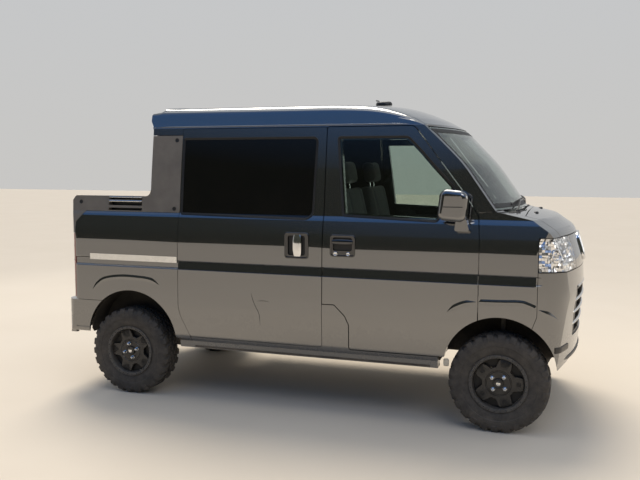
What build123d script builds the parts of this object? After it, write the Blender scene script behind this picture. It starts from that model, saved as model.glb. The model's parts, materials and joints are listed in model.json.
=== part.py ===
"""Four-door kei pickup truck: crew cab, short open bed, raised on off-road tyres. Millimetres.

+X points forward, +Y to the left, +Z up. The origin lies on the ground under the middle of the
overall length.
"""

import os
from math import atan2, cos, hypot, radians, sin, tan

from build123d import *

os.makedirs("parts", exist_ok=True)

# Overall layout
WHEELBASE = 2450
FRONT_OVERHANG = 460
REAR_OVERHANG = 485
BODY_WIDTH = 1475
ROOF_TOP_Z = 1958

LENGTH = WHEELBASE + FRONT_OVERHANG + REAR_OVERHANG
TAIL_X = -LENGTH / 2
FRONT_X = LENGTH / 2 - FRONT_OVERHANG
REAR_X = FRONT_X - WHEELBASE
HALF_WIDTH = BODY_WIDTH / 2

# Gaps between pieces
SEAM = 5.5
FIXED_SEAM = 3.0
SEAT_GAP = 0.3
RUNNING_GAP = 0.05

# Thicknesses of walls, panels and glass
WALL_INSET = 51
WALL_THICKNESS = 75
DOOR_THICKNESS = WALL_INSET - SEAM
PANEL_THICKNESS = 30
ROOF_THICKNESS = 30
GLASS_INSET = 3
GLASS_THICKNESS = 5
FLOOR_THICKNESS = 30

# Heights of the body's main lines
SILL_BOTTOM_Z = 350
SILL_TOP_Z = 395
DOOR_BOTTOM_Z = 430
GROOVE_LOW_Z = 876
GROOVE_HIGH_Z = 926
BELT_Z = 1222
WINDOW_TOP_Z = 1722
DOOR_TOP_Z = 1783
ROOF_SEAM_Z = 1792
FLOOR_Z = 520
BED_FLOOR_Z = 720
BED_RAIL_Z = 1237
GUARD_TOP_Z = 1342
BUMPER_SEAM_Z = 630
SEAT_BOX_Z = 760

# Stations along the body, measured back from the front axle
DOOR_FRONT_X = FRONT_X - 126
DOOR_REAR_X = FRONT_X - 1066
SLIDING_REAR_X = FRONT_X - 2060
CAB_REAR_X = FRONT_X - 2281
BED_REAR_X = TAIL_X + 44
BUMPER_SEAM_X = FRONT_X + 206
COWL_X = FRONT_X + 118

# Wheels and the openings round them
TYRE_RADIUS = 292
TYRE_WIDTH = 185
RIM_RADIUS = 166
WHEEL_FACE_Y = 720
WHEEL_MID_Y = WHEEL_FACE_Y - TYRE_WIDTH / 2
FRONT_ARCH_Z = 365
FRONT_ARCH_RADIUS = 321
REAR_ARCH_X = REAR_X + 28
REAR_ARCH_Z = 375
REAR_ARCH_RADIUS = 338
HOUSING_RADIUS = 346
HOUSING_WALL = 8
FRONT_HOUSING_INNER_Y = 372
REAR_HOUSING_INNER_Y = 500
HOUSING_OUTER_Y = HALF_WIDTH - WALL_INSET - 15

# Chassis rails
RAIL_HEIGHT = 70
RAIL_WIDTH = 60
RAIL_MIDDLE_Y = 330
RAIL_LOW_Z = FLOOR_Z - FLOOR_THICKNESS - RAIL_HEIGHT - SEAT_GAP
RAIL_HIGH_Z = 548
MEMBER_HEIGHT = 40
MEMBER_LENGTH = 50

# The nose and windshield bow about an upright axis far behind them
BOW_RADIUS = 2200
NOSE_REACH = FRONT_OVERHANG - 1
BOW_X = FRONT_X + NOSE_REACH - BOW_RADIUS
BOW_HALF_ANGLE = 25

# Half of the cross-section: half width, height, corner radius, kept in the inner forms or not
SECTION = (
    (HALF_WIDTH - 46, SILL_BOTTOM_Z, 0, True),
    (HALF_WIDTH - 38, SILL_TOP_Z, 0, True),
    (HALF_WIDTH - 11, DOOR_BOTTOM_Z - 5, 50, True),
    (HALF_WIDTH + 0.5, 640, 900, True),
    (HALF_WIDTH - 1, GROOVE_LOW_Z - 5, 5, False),
    (HALF_WIDTH - 10, GROOVE_LOW_Z + 5, 4, False),
    (HALF_WIDTH - 10, GROOVE_HIGH_Z - 5, 4, False),
    (HALF_WIDTH - 1, GROOVE_HIGH_Z + 5, 5, False),
    (HALF_WIDTH - 2, BELT_Z - 140, 600, True),
    (HALF_WIDTH - 26, BELT_Z - 4, 40, True),
    (HALF_WIDTH - 38, BELT_Z + 16, 12, True),
    (HALF_WIDTH - 66, 1500, 2500, True),
    (HALF_WIDTH - 104, ROOF_SEAM_Z - 4, 0, True),
    (HALF_WIDTH - 109, ROOF_SEAM_Z + 8, 0, True),
    (HALF_WIDTH - 134, ROOF_TOP_Z - 36, 80, True),
    (HALF_WIDTH - 440, ROOF_TOP_Z - 8, 4000, True),
)

# The nose seen from the side: distance ahead of the front axle, height, corner radius
NOSE = (
    (-1150, ROOF_TOP_Z + 37, 0),
    (-690, ROOF_TOP_Z - 1, 700),
    (-330, ROOF_SEAM_Z + 11, 500),
    (-95, 1563, 900),
    (98, 1287, 20),
    (290, 1243, 60),
    (392, 1172, 90),
    (447, 1000, 150),
    (NOSE_REACH, 800, 400),
    (430, 430, 60),
    (412, SILL_BOTTOM_Z + 5, 0),
)
CORNER_RADIUS = 230
CORNER_X = FRONT_X + 345
CORNER_SLOPE = 13
REAR_CORNER_RADIUS = 70
FAR = 3000


def moved_corner(before, here, after, grow):
    """Corner of an outline whose two edges both move to their right by the same distance."""
    first = hypot(here[0] - before[0], here[1] - before[1])
    second = hypot(after[0] - here[0], after[1] - here[1])
    first_normal = ((here[1] - before[1]) / first, -(here[0] - before[0]) / first)
    second_normal = ((after[1] - here[1]) / second, -(after[0] - here[0]) / second)
    across = (first_normal[0] + second_normal[0]) / 2
    up = (first_normal[1] + second_normal[1]) / 2
    scale = grow / (across * across + up * up)
    return here[0] + across * scale, here[1] + up * scale


def grown(outline, grow):
    """Closed outline of (across, up, corner radius) grown all round."""
    count = len(outline)
    area = sum(
        outline[i - 1][0] * outline[i][1] - outline[i][0] * outline[i - 1][1]
        for i in range(count)
    )
    away = grow if area > 0 else -grow
    rows = []
    for i, here in enumerate(outline):
        before, after = outline[i - 1], outline[(i + 1) % count]
        across, up = moved_corner(before[:2], here[:2], after[:2], away)
        turn = (here[0] - before[0]) * (after[1] - here[1]) - (here[1] - before[1]) * (
            after[0] - here[0]
        )
        convex = turn * area > 0
        radius = here[2] and max(here[2] + (grow if convex else -grow), 1)
        rows.append((across, up, radius))
    return rows


def rounded_face(plane, outline, grow=0):
    """Face on a plane inside an outline of (across, up, corner radius), grown all round."""
    outline = grown(outline, grow) if grow else outline
    with BuildSketch(plane) as face:
        with BuildLine():
            FilletPolyline(
                *[(across, up) for across, up, radius in outline],
                radius=[radius for across, up, radius in outline],
                close=True,
            )
        make_face()
    return face.sketch


def side_prism(outline, y_low=-FAR, y_high=FAR, grow=0):
    """Solid with an (x, z, radius) outline, as seen from the side."""
    with BuildPart() as prism:
        face = rounded_face(Plane.XZ.offset(-y_high), outline, grow)
        extrude(face, amount=y_high - y_low)
    return prism.part


def plan_prism(outline, z_low=-FAR, z_high=FAR, grow=0):
    """Solid with an (x, y, radius) outline, as seen from above."""
    with BuildPart() as prism:
        face = rounded_face(Plane.XY.offset(z_low), outline, grow)
        extrude(face, amount=z_high - z_low)
    return prism.part


def front_prism(outline, x_low=-FAR, x_high=FAR, grow=0):
    """Solid with a (y, z, radius) outline, as seen along the truck."""
    with BuildPart() as prism:
        face = rounded_face(Plane.YZ.offset(x_low), outline, grow)
        extrude(face, amount=x_high - x_low)
    return prism.part


def behind_axle(rows):
    """Outline rows whose first column is measured ahead of the front axle."""
    return [(FRONT_X + ahead, z, radius) for ahead, z, radius in rows]


def block(x_low, x_high, y_low, y_high, z_low, z_high):
    """Plain block between two corners."""
    with BuildPart() as part:
        with Locations(((x_low + x_high) / 2, (y_low + y_high) / 2, (z_low + z_high) / 2)):
            Box(x_high - x_low, y_high - y_low, z_high - z_low)
    return part.part


def side_drum(x, z, radius, y_low, y_high):
    """Cylinder across the truck, on an axis at x and z."""
    with BuildPart() as drum:
        with BuildSketch(Plane.XZ.offset(-y_high)):
            with Locations((x, z)):
                Circle(radius)
        extrude(amount=y_high - y_low)
    return drum.part


def nose_cutter(inset):
    """What lies ahead of and above the bowed windshield, hood and nose."""
    line = [(FRONT_X + ahead - BOW_X, z) for ahead, z, radius in NOSE]
    ends = [(line[0][0] - 1, line[0][1])] + line + [(line[-1][0], line[-1][1] - 1)]
    radii = [radius for ahead, z, radius in NOSE]
    outline = []
    for index, radius in enumerate(radii):
        across, up = moved_corner(*ends[index : index + 3], inset)
        outline.append((across, up, radius))
    foot = outline[-1][0]
    outline += [(foot, -200, 0), (FAR, -200, 0), (FAR, FAR, 0), (outline[0][0], FAR, 0)]
    start = radians(-BOW_HALF_ANGLE)
    plane = Plane(
        origin=(BOW_X, 0, 0),
        x_dir=(cos(start), sin(start), 0),
        z_dir=(sin(start), -cos(start), 0),
    )
    with BuildPart() as cutter:
        bow_axis = Axis((BOW_X, 0, 0), (0, 0, 1))
        revolve(rounded_face(plane, outline), axis=bow_axis, revolution_arc=2 * BOW_HALF_ANGLE)
    return cutter.part


def section_prism(inset=0, roof_inset=0):
    """The body's cross-section, moved inwards, along the whole length."""
    rows = [row for row in SECTION if row[3] or inset <= 0]
    side = []
    for half, z, radius, kept in rows:
        drop = roof_inset if z > ROOF_SEAM_Z + 20 else 0
        side.append((half - inset, z - drop, radius))
    side[0] = (side[0][0], side[0][1] - (200 if inset > 0 else 0), 0)
    crown = (0, ROOF_TOP_Z - roof_inset, 4000)
    left = [(-half, z, radius) for half, z, radius in reversed(side)]
    return front_prism(side + [crown] + left, TAIL_X, LENGTH / 2 + 200)


def body_form(inset=0, roof_inset=None):
    """The whole body as one closed form, moved inwards by the inset."""
    turn = tan(radians(CORNER_SLOPE))
    tip = CORNER_X + HALF_WIDTH * turn
    plan = (
        (BED_REAR_X + inset, -HALF_WIDTH + inset, max(REAR_CORNER_RADIUS - inset, 10)),
        (CORNER_X - inset * 0.8, -HALF_WIDTH + inset, CORNER_RADIUS - inset),
        (tip - inset, 0, 0),
        (CORNER_X - inset * 0.8, HALF_WIDTH - inset, CORNER_RADIUS - inset),
        (BED_REAR_X + inset, HALF_WIDTH - inset, max(REAR_CORNER_RADIUS - inset, 10)),
    )
    with BuildPart() as form:
        add(section_prism(inset, inset if roof_inset is None else roof_inset))
        add(plan_prism(plan), mode=Mode.INTERSECT)
        add(nose_cutter(inset), mode=Mode.SUBTRACT)
    return form.part


def layer(outer, inner):
    """Skin between two closed forms."""
    with BuildPart() as skin:
        add(outer)
        add(inner, mode=Mode.SUBTRACT)
    return skin.part


def save(name, piece):
    """Label a finished piece and write it to its own file."""
    piece.label = name
    export_step(piece, f"parts/{name}.step")


OUTER = body_form(0)
PANEL_LINE = body_form(PANEL_THICKNESS)
BACKING_LINE = body_form(PANEL_THICKNESS + SEAT_GAP)
WALL_LINE = body_form(WALL_INSET)
CABIN = body_form(WALL_THICKNESS, ROOF_THICKNESS)
CABIN_FIT = body_form(WALL_THICKNESS + SEAT_GAP, ROOF_THICKNESS)
PANEL_SKIN = layer(OUTER, PANEL_LINE)
PANEL_ROOM = layer(OUTER, BACKING_LINE)
DOOR_SKIN = layer(OUTER, body_form(DOOR_THICKNESS))
WALL_SKIN = layer(OUTER, WALL_LINE)
FIXED_SKIN = layer(OUTER, body_form(WALL_INSET - SEAT_GAP))
GLASS_SEAT = layer(OUTER, body_form(GLASS_INSET + GLASS_THICKNESS + SEAT_GAP))
GLASS_SKIN = layer(body_form(GLASS_INSET), body_form(GLASS_INSET + GLASS_THICKNESS))

# Outlines seen from the side: distance ahead of the front axle, height, corner radius
DOOR_OUTLINE = behind_axle((
    (-1066, DOOR_TOP_Z, 12),
    (-1066, 703, 0),
    (-989, 703, 14),
    (-919, 636, 20),
    (-894, 582, 30),
    (-894, DOOR_BOTTOM_Z, 14),
    (-126, DOOR_BOTTOM_Z, 0),
    (-126, 1120, 100),
    (-137, 1262, 90),
    (-233, 1405, 900),
    (-528, DOOR_TOP_Z, 45),
))
DOOR_WINDOW = behind_axle((
    (-996, WINDOW_TOP_Z, 14),
    (-947, BELT_Z + 22, 16),
    (-372, BELT_Z, 22),
    (-276, 1424, 14),
    (-405, 1560, 500),
    (-474, 1636, 200),
    (-560, WINDOW_TOP_Z, 50),
))
SLIDING_OUTLINE = behind_axle((
    (-2060, DOOR_TOP_Z, 12),
    (-2060, 590, 260),
    (-1978, DOOR_BOTTOM_Z, 25),
    (-1071, DOOR_BOTTOM_Z, 18),
    (-1071, DOOR_TOP_Z, 12),
))
SLIDING_WINDOW = behind_axle((
    (-2050, WINDOW_TOP_Z, 12),
    (-2050, BELT_Z + 10, 12),
    (-1138, BELT_Z - 6, 60),
    (-1126, WINDOW_TOP_Z, 30),
))
WINDOW_FLANGE = 18

with BuildPart() as front_arch:
    add(side_drum(FRONT_X, FRONT_ARCH_Z, FRONT_ARCH_RADIUS, -FAR, FAR))
with BuildPart() as rear_arch:
    add(side_drum(REAR_ARCH_X, REAR_ARCH_Z, REAR_ARCH_RADIUS, -FAR, FAR))


def windowed_door(skin, outline, window):
    """Right-hand door as thick as the wall, with a rebate and a hole for its glass."""
    with BuildPart() as rebate:
        add(GLASS_SEAT)
        add(side_prism(window), mode=Mode.INTERSECT)
    with BuildPart() as door:
        add(skin)
        add(side_prism(outline, -FAR, -300), mode=Mode.INTERSECT)
        add(rebate.part, mode=Mode.SUBTRACT)
        add(side_prism(window, grow=-WINDOW_FLANGE), mode=Mode.SUBTRACT)
        add(front_arch.part, mode=Mode.SUBTRACT)
    return door.part


def both_sides(right):
    """A right-hand piece and its mirror image on the left."""
    with BuildPart() as pair:
        add(right)
        mirror(right, about=Plane.XZ)
    return pair.part


def left_of(right):
    """Mirror image of a right-hand piece."""
    with BuildPart() as piece:
        mirror(right, about=Plane.XZ)
    return piece.part


def window_glass(window):
    """Right-hand glass that fills a window's rebate."""
    with BuildPart() as glass:
        add(GLASS_SKIN)
        add(side_prism(window, -FAR, -300, grow=-2), mode=Mode.INTERSECT)
    return glass.part


# Doors and their glass
with BuildPart() as door_right:
    add(windowed_door(DOOR_SKIN, DOOR_OUTLINE, DOOR_WINDOW))
with BuildPart() as sliding_door_right:
    add(windowed_door(FIXED_SKIN, SLIDING_OUTLINE, SLIDING_WINDOW))
    add(rear_arch.part, mode=Mode.SUBTRACT)
door_glass_right = window_glass(DOOR_WINDOW)
sliding_glass_right = window_glass(SLIDING_WINDOW)

# Handles: a bezel let into the skin, a cup behind it and a grip across the cup
HANDLE_PROUD = 3
HANDLE_DEPTH = 16
HANDLE_Y = HALF_WIDTH - 2


def handle(outline, cup, grip):
    """Right-hand handle on an upright face."""
    out_y = -(HANDLE_Y + HANDLE_PROUD)
    with BuildPart() as bezel:
        add(side_prism(outline, out_y, -(HANDLE_Y - HANDLE_DEPTH)))
        add(side_prism(cup, out_y, -(HANDLE_Y - HANDLE_DEPTH + 4)), mode=Mode.SUBTRACT)
        add(side_prism(grip, out_y, out_y + 9))
    return bezel.part


def handle_pocket(outline):
    """Room that a handle takes out of the door's skin."""
    return side_prism(outline, -FAR, -(HANDLE_Y - HANDLE_DEPTH - SEAT_GAP), grow=SEAT_GAP)


SLIDING_HANDLE = behind_axle(
    ((-1313, 976, 18), (-1156, 976, 18), (-1156, 1138, 18), (-1313, 1138, 18))
)
SLIDING_CUP = behind_axle(
    ((-1291, 996, 14), (-1178, 996, 14), (-1178, 1118, 14), (-1291, 1118, 14))
)
SLIDING_GRIP = behind_axle(
    ((-1246, 990, 0), (-1212, 990, 0), (-1212, 1124, 0), (-1246, 1124, 0))
)
DOOR_HANDLE = behind_axle(
    ((-1017, 998, 18), (-859, 998, 18), (-859, 1132, 18), (-1017, 1132, 18))
)
DOOR_CUP = behind_axle(
    ((-999, 1034, 14), (-877, 1034, 14), (-877, 1116, 14), (-999, 1116, 14))
)
DOOR_GRIP = behind_axle(
    ((-1005, 1074, 0), (-871, 1074, 0), (-871, 1102, 0), (-1005, 1102, 0))
)
handle_right = handle(DOOR_HANDLE, DOOR_CUP, DOOR_GRIP)
sliding_handle_right = handle(SLIDING_HANDLE, SLIDING_CUP, SLIDING_GRIP)
with BuildPart() as door_right_cut:
    add(door_right.part)
    add(handle_pocket(DOOR_HANDLE), mode=Mode.SUBTRACT)
with BuildPart() as sliding_right_cut:
    add(sliding_door_right.part)
    add(handle_pocket(SLIDING_HANDLE), mode=Mode.SUBTRACT)

# Door mirror: rounded head on a foot that stands on the door
MIRROR_OUT_Y = 862
MIRROR_IN_Y = 752
MIRROR_HEAD = behind_axle(
    ((-352, 1243, 40), (-190, 1230, 40), (-176, 1405, 45), (-330, 1420, 40))
)
MIRROR_FOOT = behind_axle(((-262, 1176, 10), (-176, 1176, 10), (-200, 1262, 0), (-250, 1262, 0)))
with BuildPart() as mirror_right:
    add(side_prism(MIRROR_HEAD, -MIRROR_OUT_Y, -MIRROR_IN_Y))
    fillet(mirror_right.part.faces().sort_by(Axis.Y)[0].edges(), radius=28)
    fillet(mirror_right.part.faces().sort_by(Axis.Y)[-1].edges(), radius=14)
    add(side_prism(MIRROR_FOOT, -MIRROR_IN_Y - 22, -680))
    add(body_form(-SEAT_GAP), mode=Mode.SUBTRACT)

# Fenders, hood, nose panel and bumper
FENDER_OUTLINE = behind_axle((
    (-126 + SEAM, 380, 0),
    (-126 + SEAM, 1120, 100),
    (-136 + SEAM, 1262, 0),
    (-139 + SEAM, 1277, 0),
    (70, 1300, 0),
    (480, 1300, 0),
    (480, 1147, 0),
    (206 - FIXED_SEAM, 1147, 0),
    (206 - FIXED_SEAM, 700, 20),
    (170 - FIXED_SEAM, 600, 0),
    (0, 400, 0),
))
HOOD_HALF_WIDTH = 600
LAMP_INNER_Y = 428
LAMP_LOW_Z = 953
LAMP_HIGH_Z = 1144
HOOD_NOSE_Z = 1149
HOOD_THICKNESS = 24
with BuildPart() as fender_right:
    add(PANEL_SKIN)
    add(side_prism(FENDER_OUTLINE, -FAR, -HOOD_HALF_WIDTH), mode=Mode.INTERSECT)
    add(front_arch.part, mode=Mode.SUBTRACT)

HOOD_SKIN = layer(OUTER, body_form(HOOD_THICKNESS))
HOOD_OUTLINE = behind_axle(
    ((118 + SEAM, 1500, 0), (118 + SEAM, 1149, 0), (480, 1149, 0), (480, 1500, 0))
)
with BuildPart() as hood:
    add(HOOD_SKIN)
    hood_half = HOOD_HALF_WIDTH - SEAM
    add(side_prism(HOOD_OUTLINE, -hood_half, hood_half), mode=Mode.INTERSECT)

BUMPER_OUTLINE = behind_axle((
    (206, 950, 0),
    (480, 950, 0),
    (480, 418, 0),
    (385, 411, 0),
    (298, 366, 0),
    (170, 366, 0),
    (170, 600, 0),
    (206, 700, 20),
))
GRILLE_OPENING = ((-440, 548, 30), (440, 548, 30), (470, 700, 60), (430, 848, 40),
                  (-430, 848, 40), (-470, 700, 60))
with BuildPart() as front_bumper:
    add(PANEL_SKIN)
    add(side_prism(BUMPER_OUTLINE), mode=Mode.INTERSECT)
    add(front_prism(GRILLE_OPENING, FRONT_X, FAR), mode=Mode.SUBTRACT)
    add(front_arch.part, mode=Mode.SUBTRACT)

SLAT_COUNT = 4
SLAT_LOW_Z = 566
SLAT_PITCH = 70
SLAT_GAP = 44
with BuildPart() as grille:
    add(layer(body_form(8), body_form(PANEL_THICKNESS - 4)))
    add(front_prism(GRILLE_OPENING, FRONT_X, FAR, grow=-SEAT_GAP), mode=Mode.INTERSECT)
    for row in range(SLAT_COUNT):
        low = SLAT_LOW_Z + row * SLAT_PITCH
        for middle in (-285, -95, 95, 285):
            with Locations((FRONT_X + 400, middle, low + SLAT_GAP / 2)):
                Box(400, 170, SLAT_GAP, mode=Mode.SUBTRACT)

with BuildPart() as nose_panel:
    add(PANEL_SKIN)
    nose_half = LAMP_INNER_Y - FIXED_SEAM
    add(block(FRONT_X + 250, FAR, -nose_half, nose_half, LAMP_LOW_Z, HOOD_NOSE_Z - 5),
        mode=Mode.INTERSECT)

LAMP_OUTLINE = behind_axle((
    (206, LAMP_LOW_Z + 2, 6),
    (480, LAMP_LOW_Z + 2, 0),
    (480, LAMP_HIGH_Z, 0),
    (206, LAMP_HIGH_Z, 12),
))
with BuildPart() as headlamp_right:
    add(FIXED_SKIN)
    add(side_prism(LAMP_OUTLINE, -FAR, -LAMP_INNER_Y), mode=Mode.INTERSECT)

# Roof, with the rear cap over the cab's back wall
ROOF_OUTLINE = behind_axle((
    (-2281, ROOF_SEAM_Z, 0),
    (480, ROOF_SEAM_Z, 0),
    (480, 2100, 0),
    (-2216, 2100, 0),
    (-2232, ROOF_TOP_Z - 62, 4),
    (-2300, ROOF_TOP_Z - 70, 10),
    (-2304, ROOF_TOP_Z - 120, 10),
))
with BuildPart() as roof:
    add(layer(OUTER, CABIN))
    add(side_prism(ROOF_OUTLINE), mode=Mode.INTERSECT)

# Rear quarter panels, with the bed's sides as thick as the wall
CORNER_INNER_Y = 632
CORNER_FRONT_X = FRONT_X - 2848
QUARTER_OUTLINE = behind_axle((
    (-2846, BUMPER_SEAM_Z + 3, 0),
    (-2846, 1164, 0),
    (-2777, BED_RAIL_Z, 0),
    (-2060 - FIXED_SEAM, BED_RAIL_Z, 0),
    (-2060 - FIXED_SEAM, 590, 260),
    (-1978 - FIXED_SEAM, DOOR_BOTTOM_Z + 2, 0),
    (-1978, SILL_TOP_Z + 3, 0),
    (-2480, SILL_TOP_Z + 3, 0),
    (-2480, BUMPER_SEAM_Z + 3, 0),
))
RAIL_COVER = behind_axle(
    ((-2727, 913, 0), (-2066, 913, 0), (-2066, 953, 0), (-2727, 953, 0))
)
RAIL_DEPTH = 12
RAIL_PROUD = 3
with BuildPart() as quarter_right:
    add(FIXED_SKIN)
    add(side_prism(QUARTER_OUTLINE, -FAR, -CORNER_INNER_Y), mode=Mode.INTERSECT)
    add(rear_arch.part, mode=Mode.SUBTRACT)
    add(side_prism(RAIL_COVER, -FAR, -(HALF_WIDTH - RAIL_DEPTH), grow=SEAT_GAP),
        mode=Mode.SUBTRACT)
rail_right = side_prism(
    RAIL_COVER, -(HALF_WIDTH + RAIL_PROUD), -(HALF_WIDTH - RAIL_DEPTH + SEAT_GAP)
)

# Moulded guard over each bed side, with a slotted window, and the trim on the rear pillar
GUARD_BED = behind_axle((
    (-2894, 1088, 0),
    (-2894, 1303, 0),
    (-2863, GUARD_TOP_Z, 12),
    (-2281 - 60, GUARD_TOP_Z, 0),
    (-2281, GUARD_TOP_Z, 0),
    (-2281, BED_RAIL_Z + 2, 0),
    (-2778, BED_RAIL_Z + 2, 0),
    (-2848, 1165, 0),
    (-2848, 1088, 0),
))
PILLAR_TRIM = behind_axle((
    (-2281, BED_RAIL_Z + 2, 0),
    (-2281, 1741, 0),
    (-2060 - FIXED_SEAM, 1741, 0),
    (-2060 - FIXED_SEAM, BED_RAIL_Z + 2, 0),
))
GUARD_SLOTS = ((1246, 1264), (1279, 1303), (1318, 1331))
with BuildPart() as guard_right:
    add(layer(OUTER, CABIN))
    add(block(-FAR, CORNER_FRONT_X, -FAR, -CORNER_INNER_Y, 0, FAR) & OUTER)
    add(side_prism(GUARD_BED, -FAR, -CORNER_INNER_Y), mode=Mode.INTERSECT)
    for low, high in GUARD_SLOTS:
        with Locations((FRONT_X - 2473, -HALF_WIDTH + 60, (low + high) / 2)):
            Box(258, 300, high - low, mode=Mode.SUBTRACT)
with BuildPart() as pillar_trim_right:
    add(FIXED_SKIN)
    add(side_prism(PILLAR_TRIM, -FAR, -300), mode=Mode.INTERSECT)
with BuildPart() as bed_guard_right:
    add(guard_right.part)
    add(pillar_trim_right.part)

LAMP_SEAT_X = -2846 - SEAT_GAP
TAIL_LAMP = behind_axle((
    (-2894, 645, 0),
    (-2894, 1085, 0),
    (LAMP_SEAT_X, 1085, 0),
    (LAMP_SEAT_X, 645, 0),
))
with BuildPart() as tail_lamp_right:
    add(body_form(1))
    add(side_prism(TAIL_LAMP, -FAR, -CORNER_INNER_Y), mode=Mode.INTERSECT)


# Rear bumper: a shell round the tail with a closed top
REAR_BUMPER_THICKNESS = 26
BUMPER_LEDGE = 58
BUMPER_LOW_Z = 392
BUMPER_STEP_Z = 443
with BuildPart() as rear_bumper:
    for inset, mode, top in (
        (0, Mode.ADD, BUMPER_SEAM_Z),
        (REAR_BUMPER_THICKNESS, Mode.SUBTRACT, BUMPER_SEAM_Z - 8),
    ):
        shape = (
            (TAIL_X + inset, -HALF_WIDTH + inset, 85 - inset),
            (FRONT_X - 2480, -HALF_WIDTH + inset, 0),
            (FRONT_X - 2480, HALF_WIDTH - inset, 0),
            (TAIL_X + inset, HALF_WIDTH - inset, 85 - inset),
        )
        add(plan_prism(shape, BUMPER_LOW_Z - inset, top) & section_prism(inset, inset), mode=mode)
    ledge_half = HALF_WIDTH - REAR_BUMPER_THICKNESS
    add(block(TAIL_X + BUMPER_LEDGE, FAR, -ledge_half, ledge_half, -FAR, FAR), mode=Mode.SUBTRACT)
    add(rear_arch.part, mode=Mode.SUBTRACT)
    add(layer(OUTER, body_form(4)) & block(-FAR, FRONT_X - 2400, -FAR, FAR, 440, 446),
        mode=Mode.SUBTRACT)

# Tailgate: hinged along its lower edge, with a pressed-in field on each face
GATE_THICKNESS = 43
GATE_LOW_Z = 652
GATE_HALF_WIDTH = CORNER_INNER_Y - SEAM
GATE_HINGE_X = BED_REAR_X - 3
GATE_HINGE_Z = GATE_LOW_Z + 3
GATE_BARREL_RADIUS = 8
GATE_HINGE_Y = 400
GATE_HINGE_LENGTH = 60
with BuildPart() as tailgate:
    gate = block(BED_REAR_X, BED_REAR_X + GATE_THICKNESS, -GATE_HALF_WIDTH, GATE_HALF_WIDTH,
                 GATE_LOW_Z, BED_RAIL_Z)
    add(gate)
    fillet(tailgate.part.edges().filter_by(Axis.X), radius=14)
    inner_field = ((-560, 720, 30), (560, 720, 30), (560, 1170, 30), (-560, 1170, 30))
    add(front_prism(inner_field, BED_REAR_X + GATE_THICKNESS - 14, FAR), mode=Mode.SUBTRACT)
    outer_band = ((-FAR, GROOVE_LOW_Z, 0), (FAR, GROOVE_LOW_Z, 0), (FAR, GROOVE_HIGH_Z, 0),
                  (-FAR, GROOVE_HIGH_Z, 0))
    add(front_prism(outer_band, -FAR, BED_REAR_X + 9), mode=Mode.SUBTRACT)
    for side in (-1, 1):
        middle = side * GATE_HINGE_Y
        add(side_drum(GATE_HINGE_X, GATE_HINGE_Z, GATE_BARREL_RADIUS,
                      middle - GATE_HINGE_LENGTH / 2, middle + GATE_HINGE_LENGTH / 2))

# Wheel housings: half drums with an inner wall, open towards the road
def wheel_housing(x, z, inner_y, low_z, within):
    """Right-hand wheel housing, trimmed to what lies within a form."""
    with BuildPart() as housing:
        add(side_drum(x, z, HOUSING_RADIUS + HOUSING_WALL, -HOUSING_OUTER_Y, -inner_y))
        add(side_drum(x, z, HOUSING_RADIUS, -HOUSING_OUTER_Y, -inner_y - HOUSING_WALL),
            mode=Mode.SUBTRACT)
        add(block(-FAR, FAR, -FAR, FAR, -FAR, low_z), mode=Mode.SUBTRACT)
        add(within, mode=Mode.INTERSECT)
    return housing.part


def housing_room(x, z, inner_y):
    """Room that a wheel housing takes out of the floors and walls round it."""
    radius = HOUSING_RADIUS + HOUSING_WALL + SEAT_GAP
    return both_sides(side_drum(x, z, radius, -FAR, -inner_y + SEAT_GAP))


front_room = housing_room(FRONT_X, FRONT_ARCH_Z, FRONT_HOUSING_INNER_Y)
rear_room = housing_room(REAR_ARCH_X, REAR_ARCH_Z, REAR_HOUSING_INNER_Y)
front_housing = wheel_housing(
    FRONT_X, FRONT_ARCH_Z, FRONT_HOUSING_INNER_Y, SILL_TOP_Z, BACKING_LINE
)
rear_housing = wheel_housing(
    REAR_ARCH_X, REAR_ARCH_Z, REAR_HOUSING_INNER_Y, SILL_TOP_Z, WALL_LINE
)

# Body sides: sills, pillars and roof rails behind the doors
SIDE_INNER_Y = 500
APERTURE_LIP = 32
FRAME_FRONT_X = 160
WINDSHIELD_LOW_Z = 1292
WINDSHIELD_HIGH_Z = ROOF_SEAM_Z - 8
WINDSHIELD_EDGE = 20
WINDSHIELD_FLANGE = 24


def windshield_prism(shrink):
    """Upright slab of the section's width that marks out the windshield."""
    with BuildPart() as slab:
        add(section_prism(WINDSHIELD_EDGE + shrink, WINDSHIELD_EDGE + shrink))
        add(block(FRONT_X - 700, FAR, -FAR, FAR, WINDSHIELD_LOW_Z + shrink,
                  WINDSHIELD_HIGH_Z - shrink), mode=Mode.INTERSECT)
    return slab.part


with BuildPart() as windshield_rebate:
    add(GLASS_SEAT)
    add(windshield_prism(0), mode=Mode.INTERSECT)
with BuildPart() as windshield:
    add(GLASS_SKIN)
    add(windshield_prism(2), mode=Mode.INTERSECT)

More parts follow.
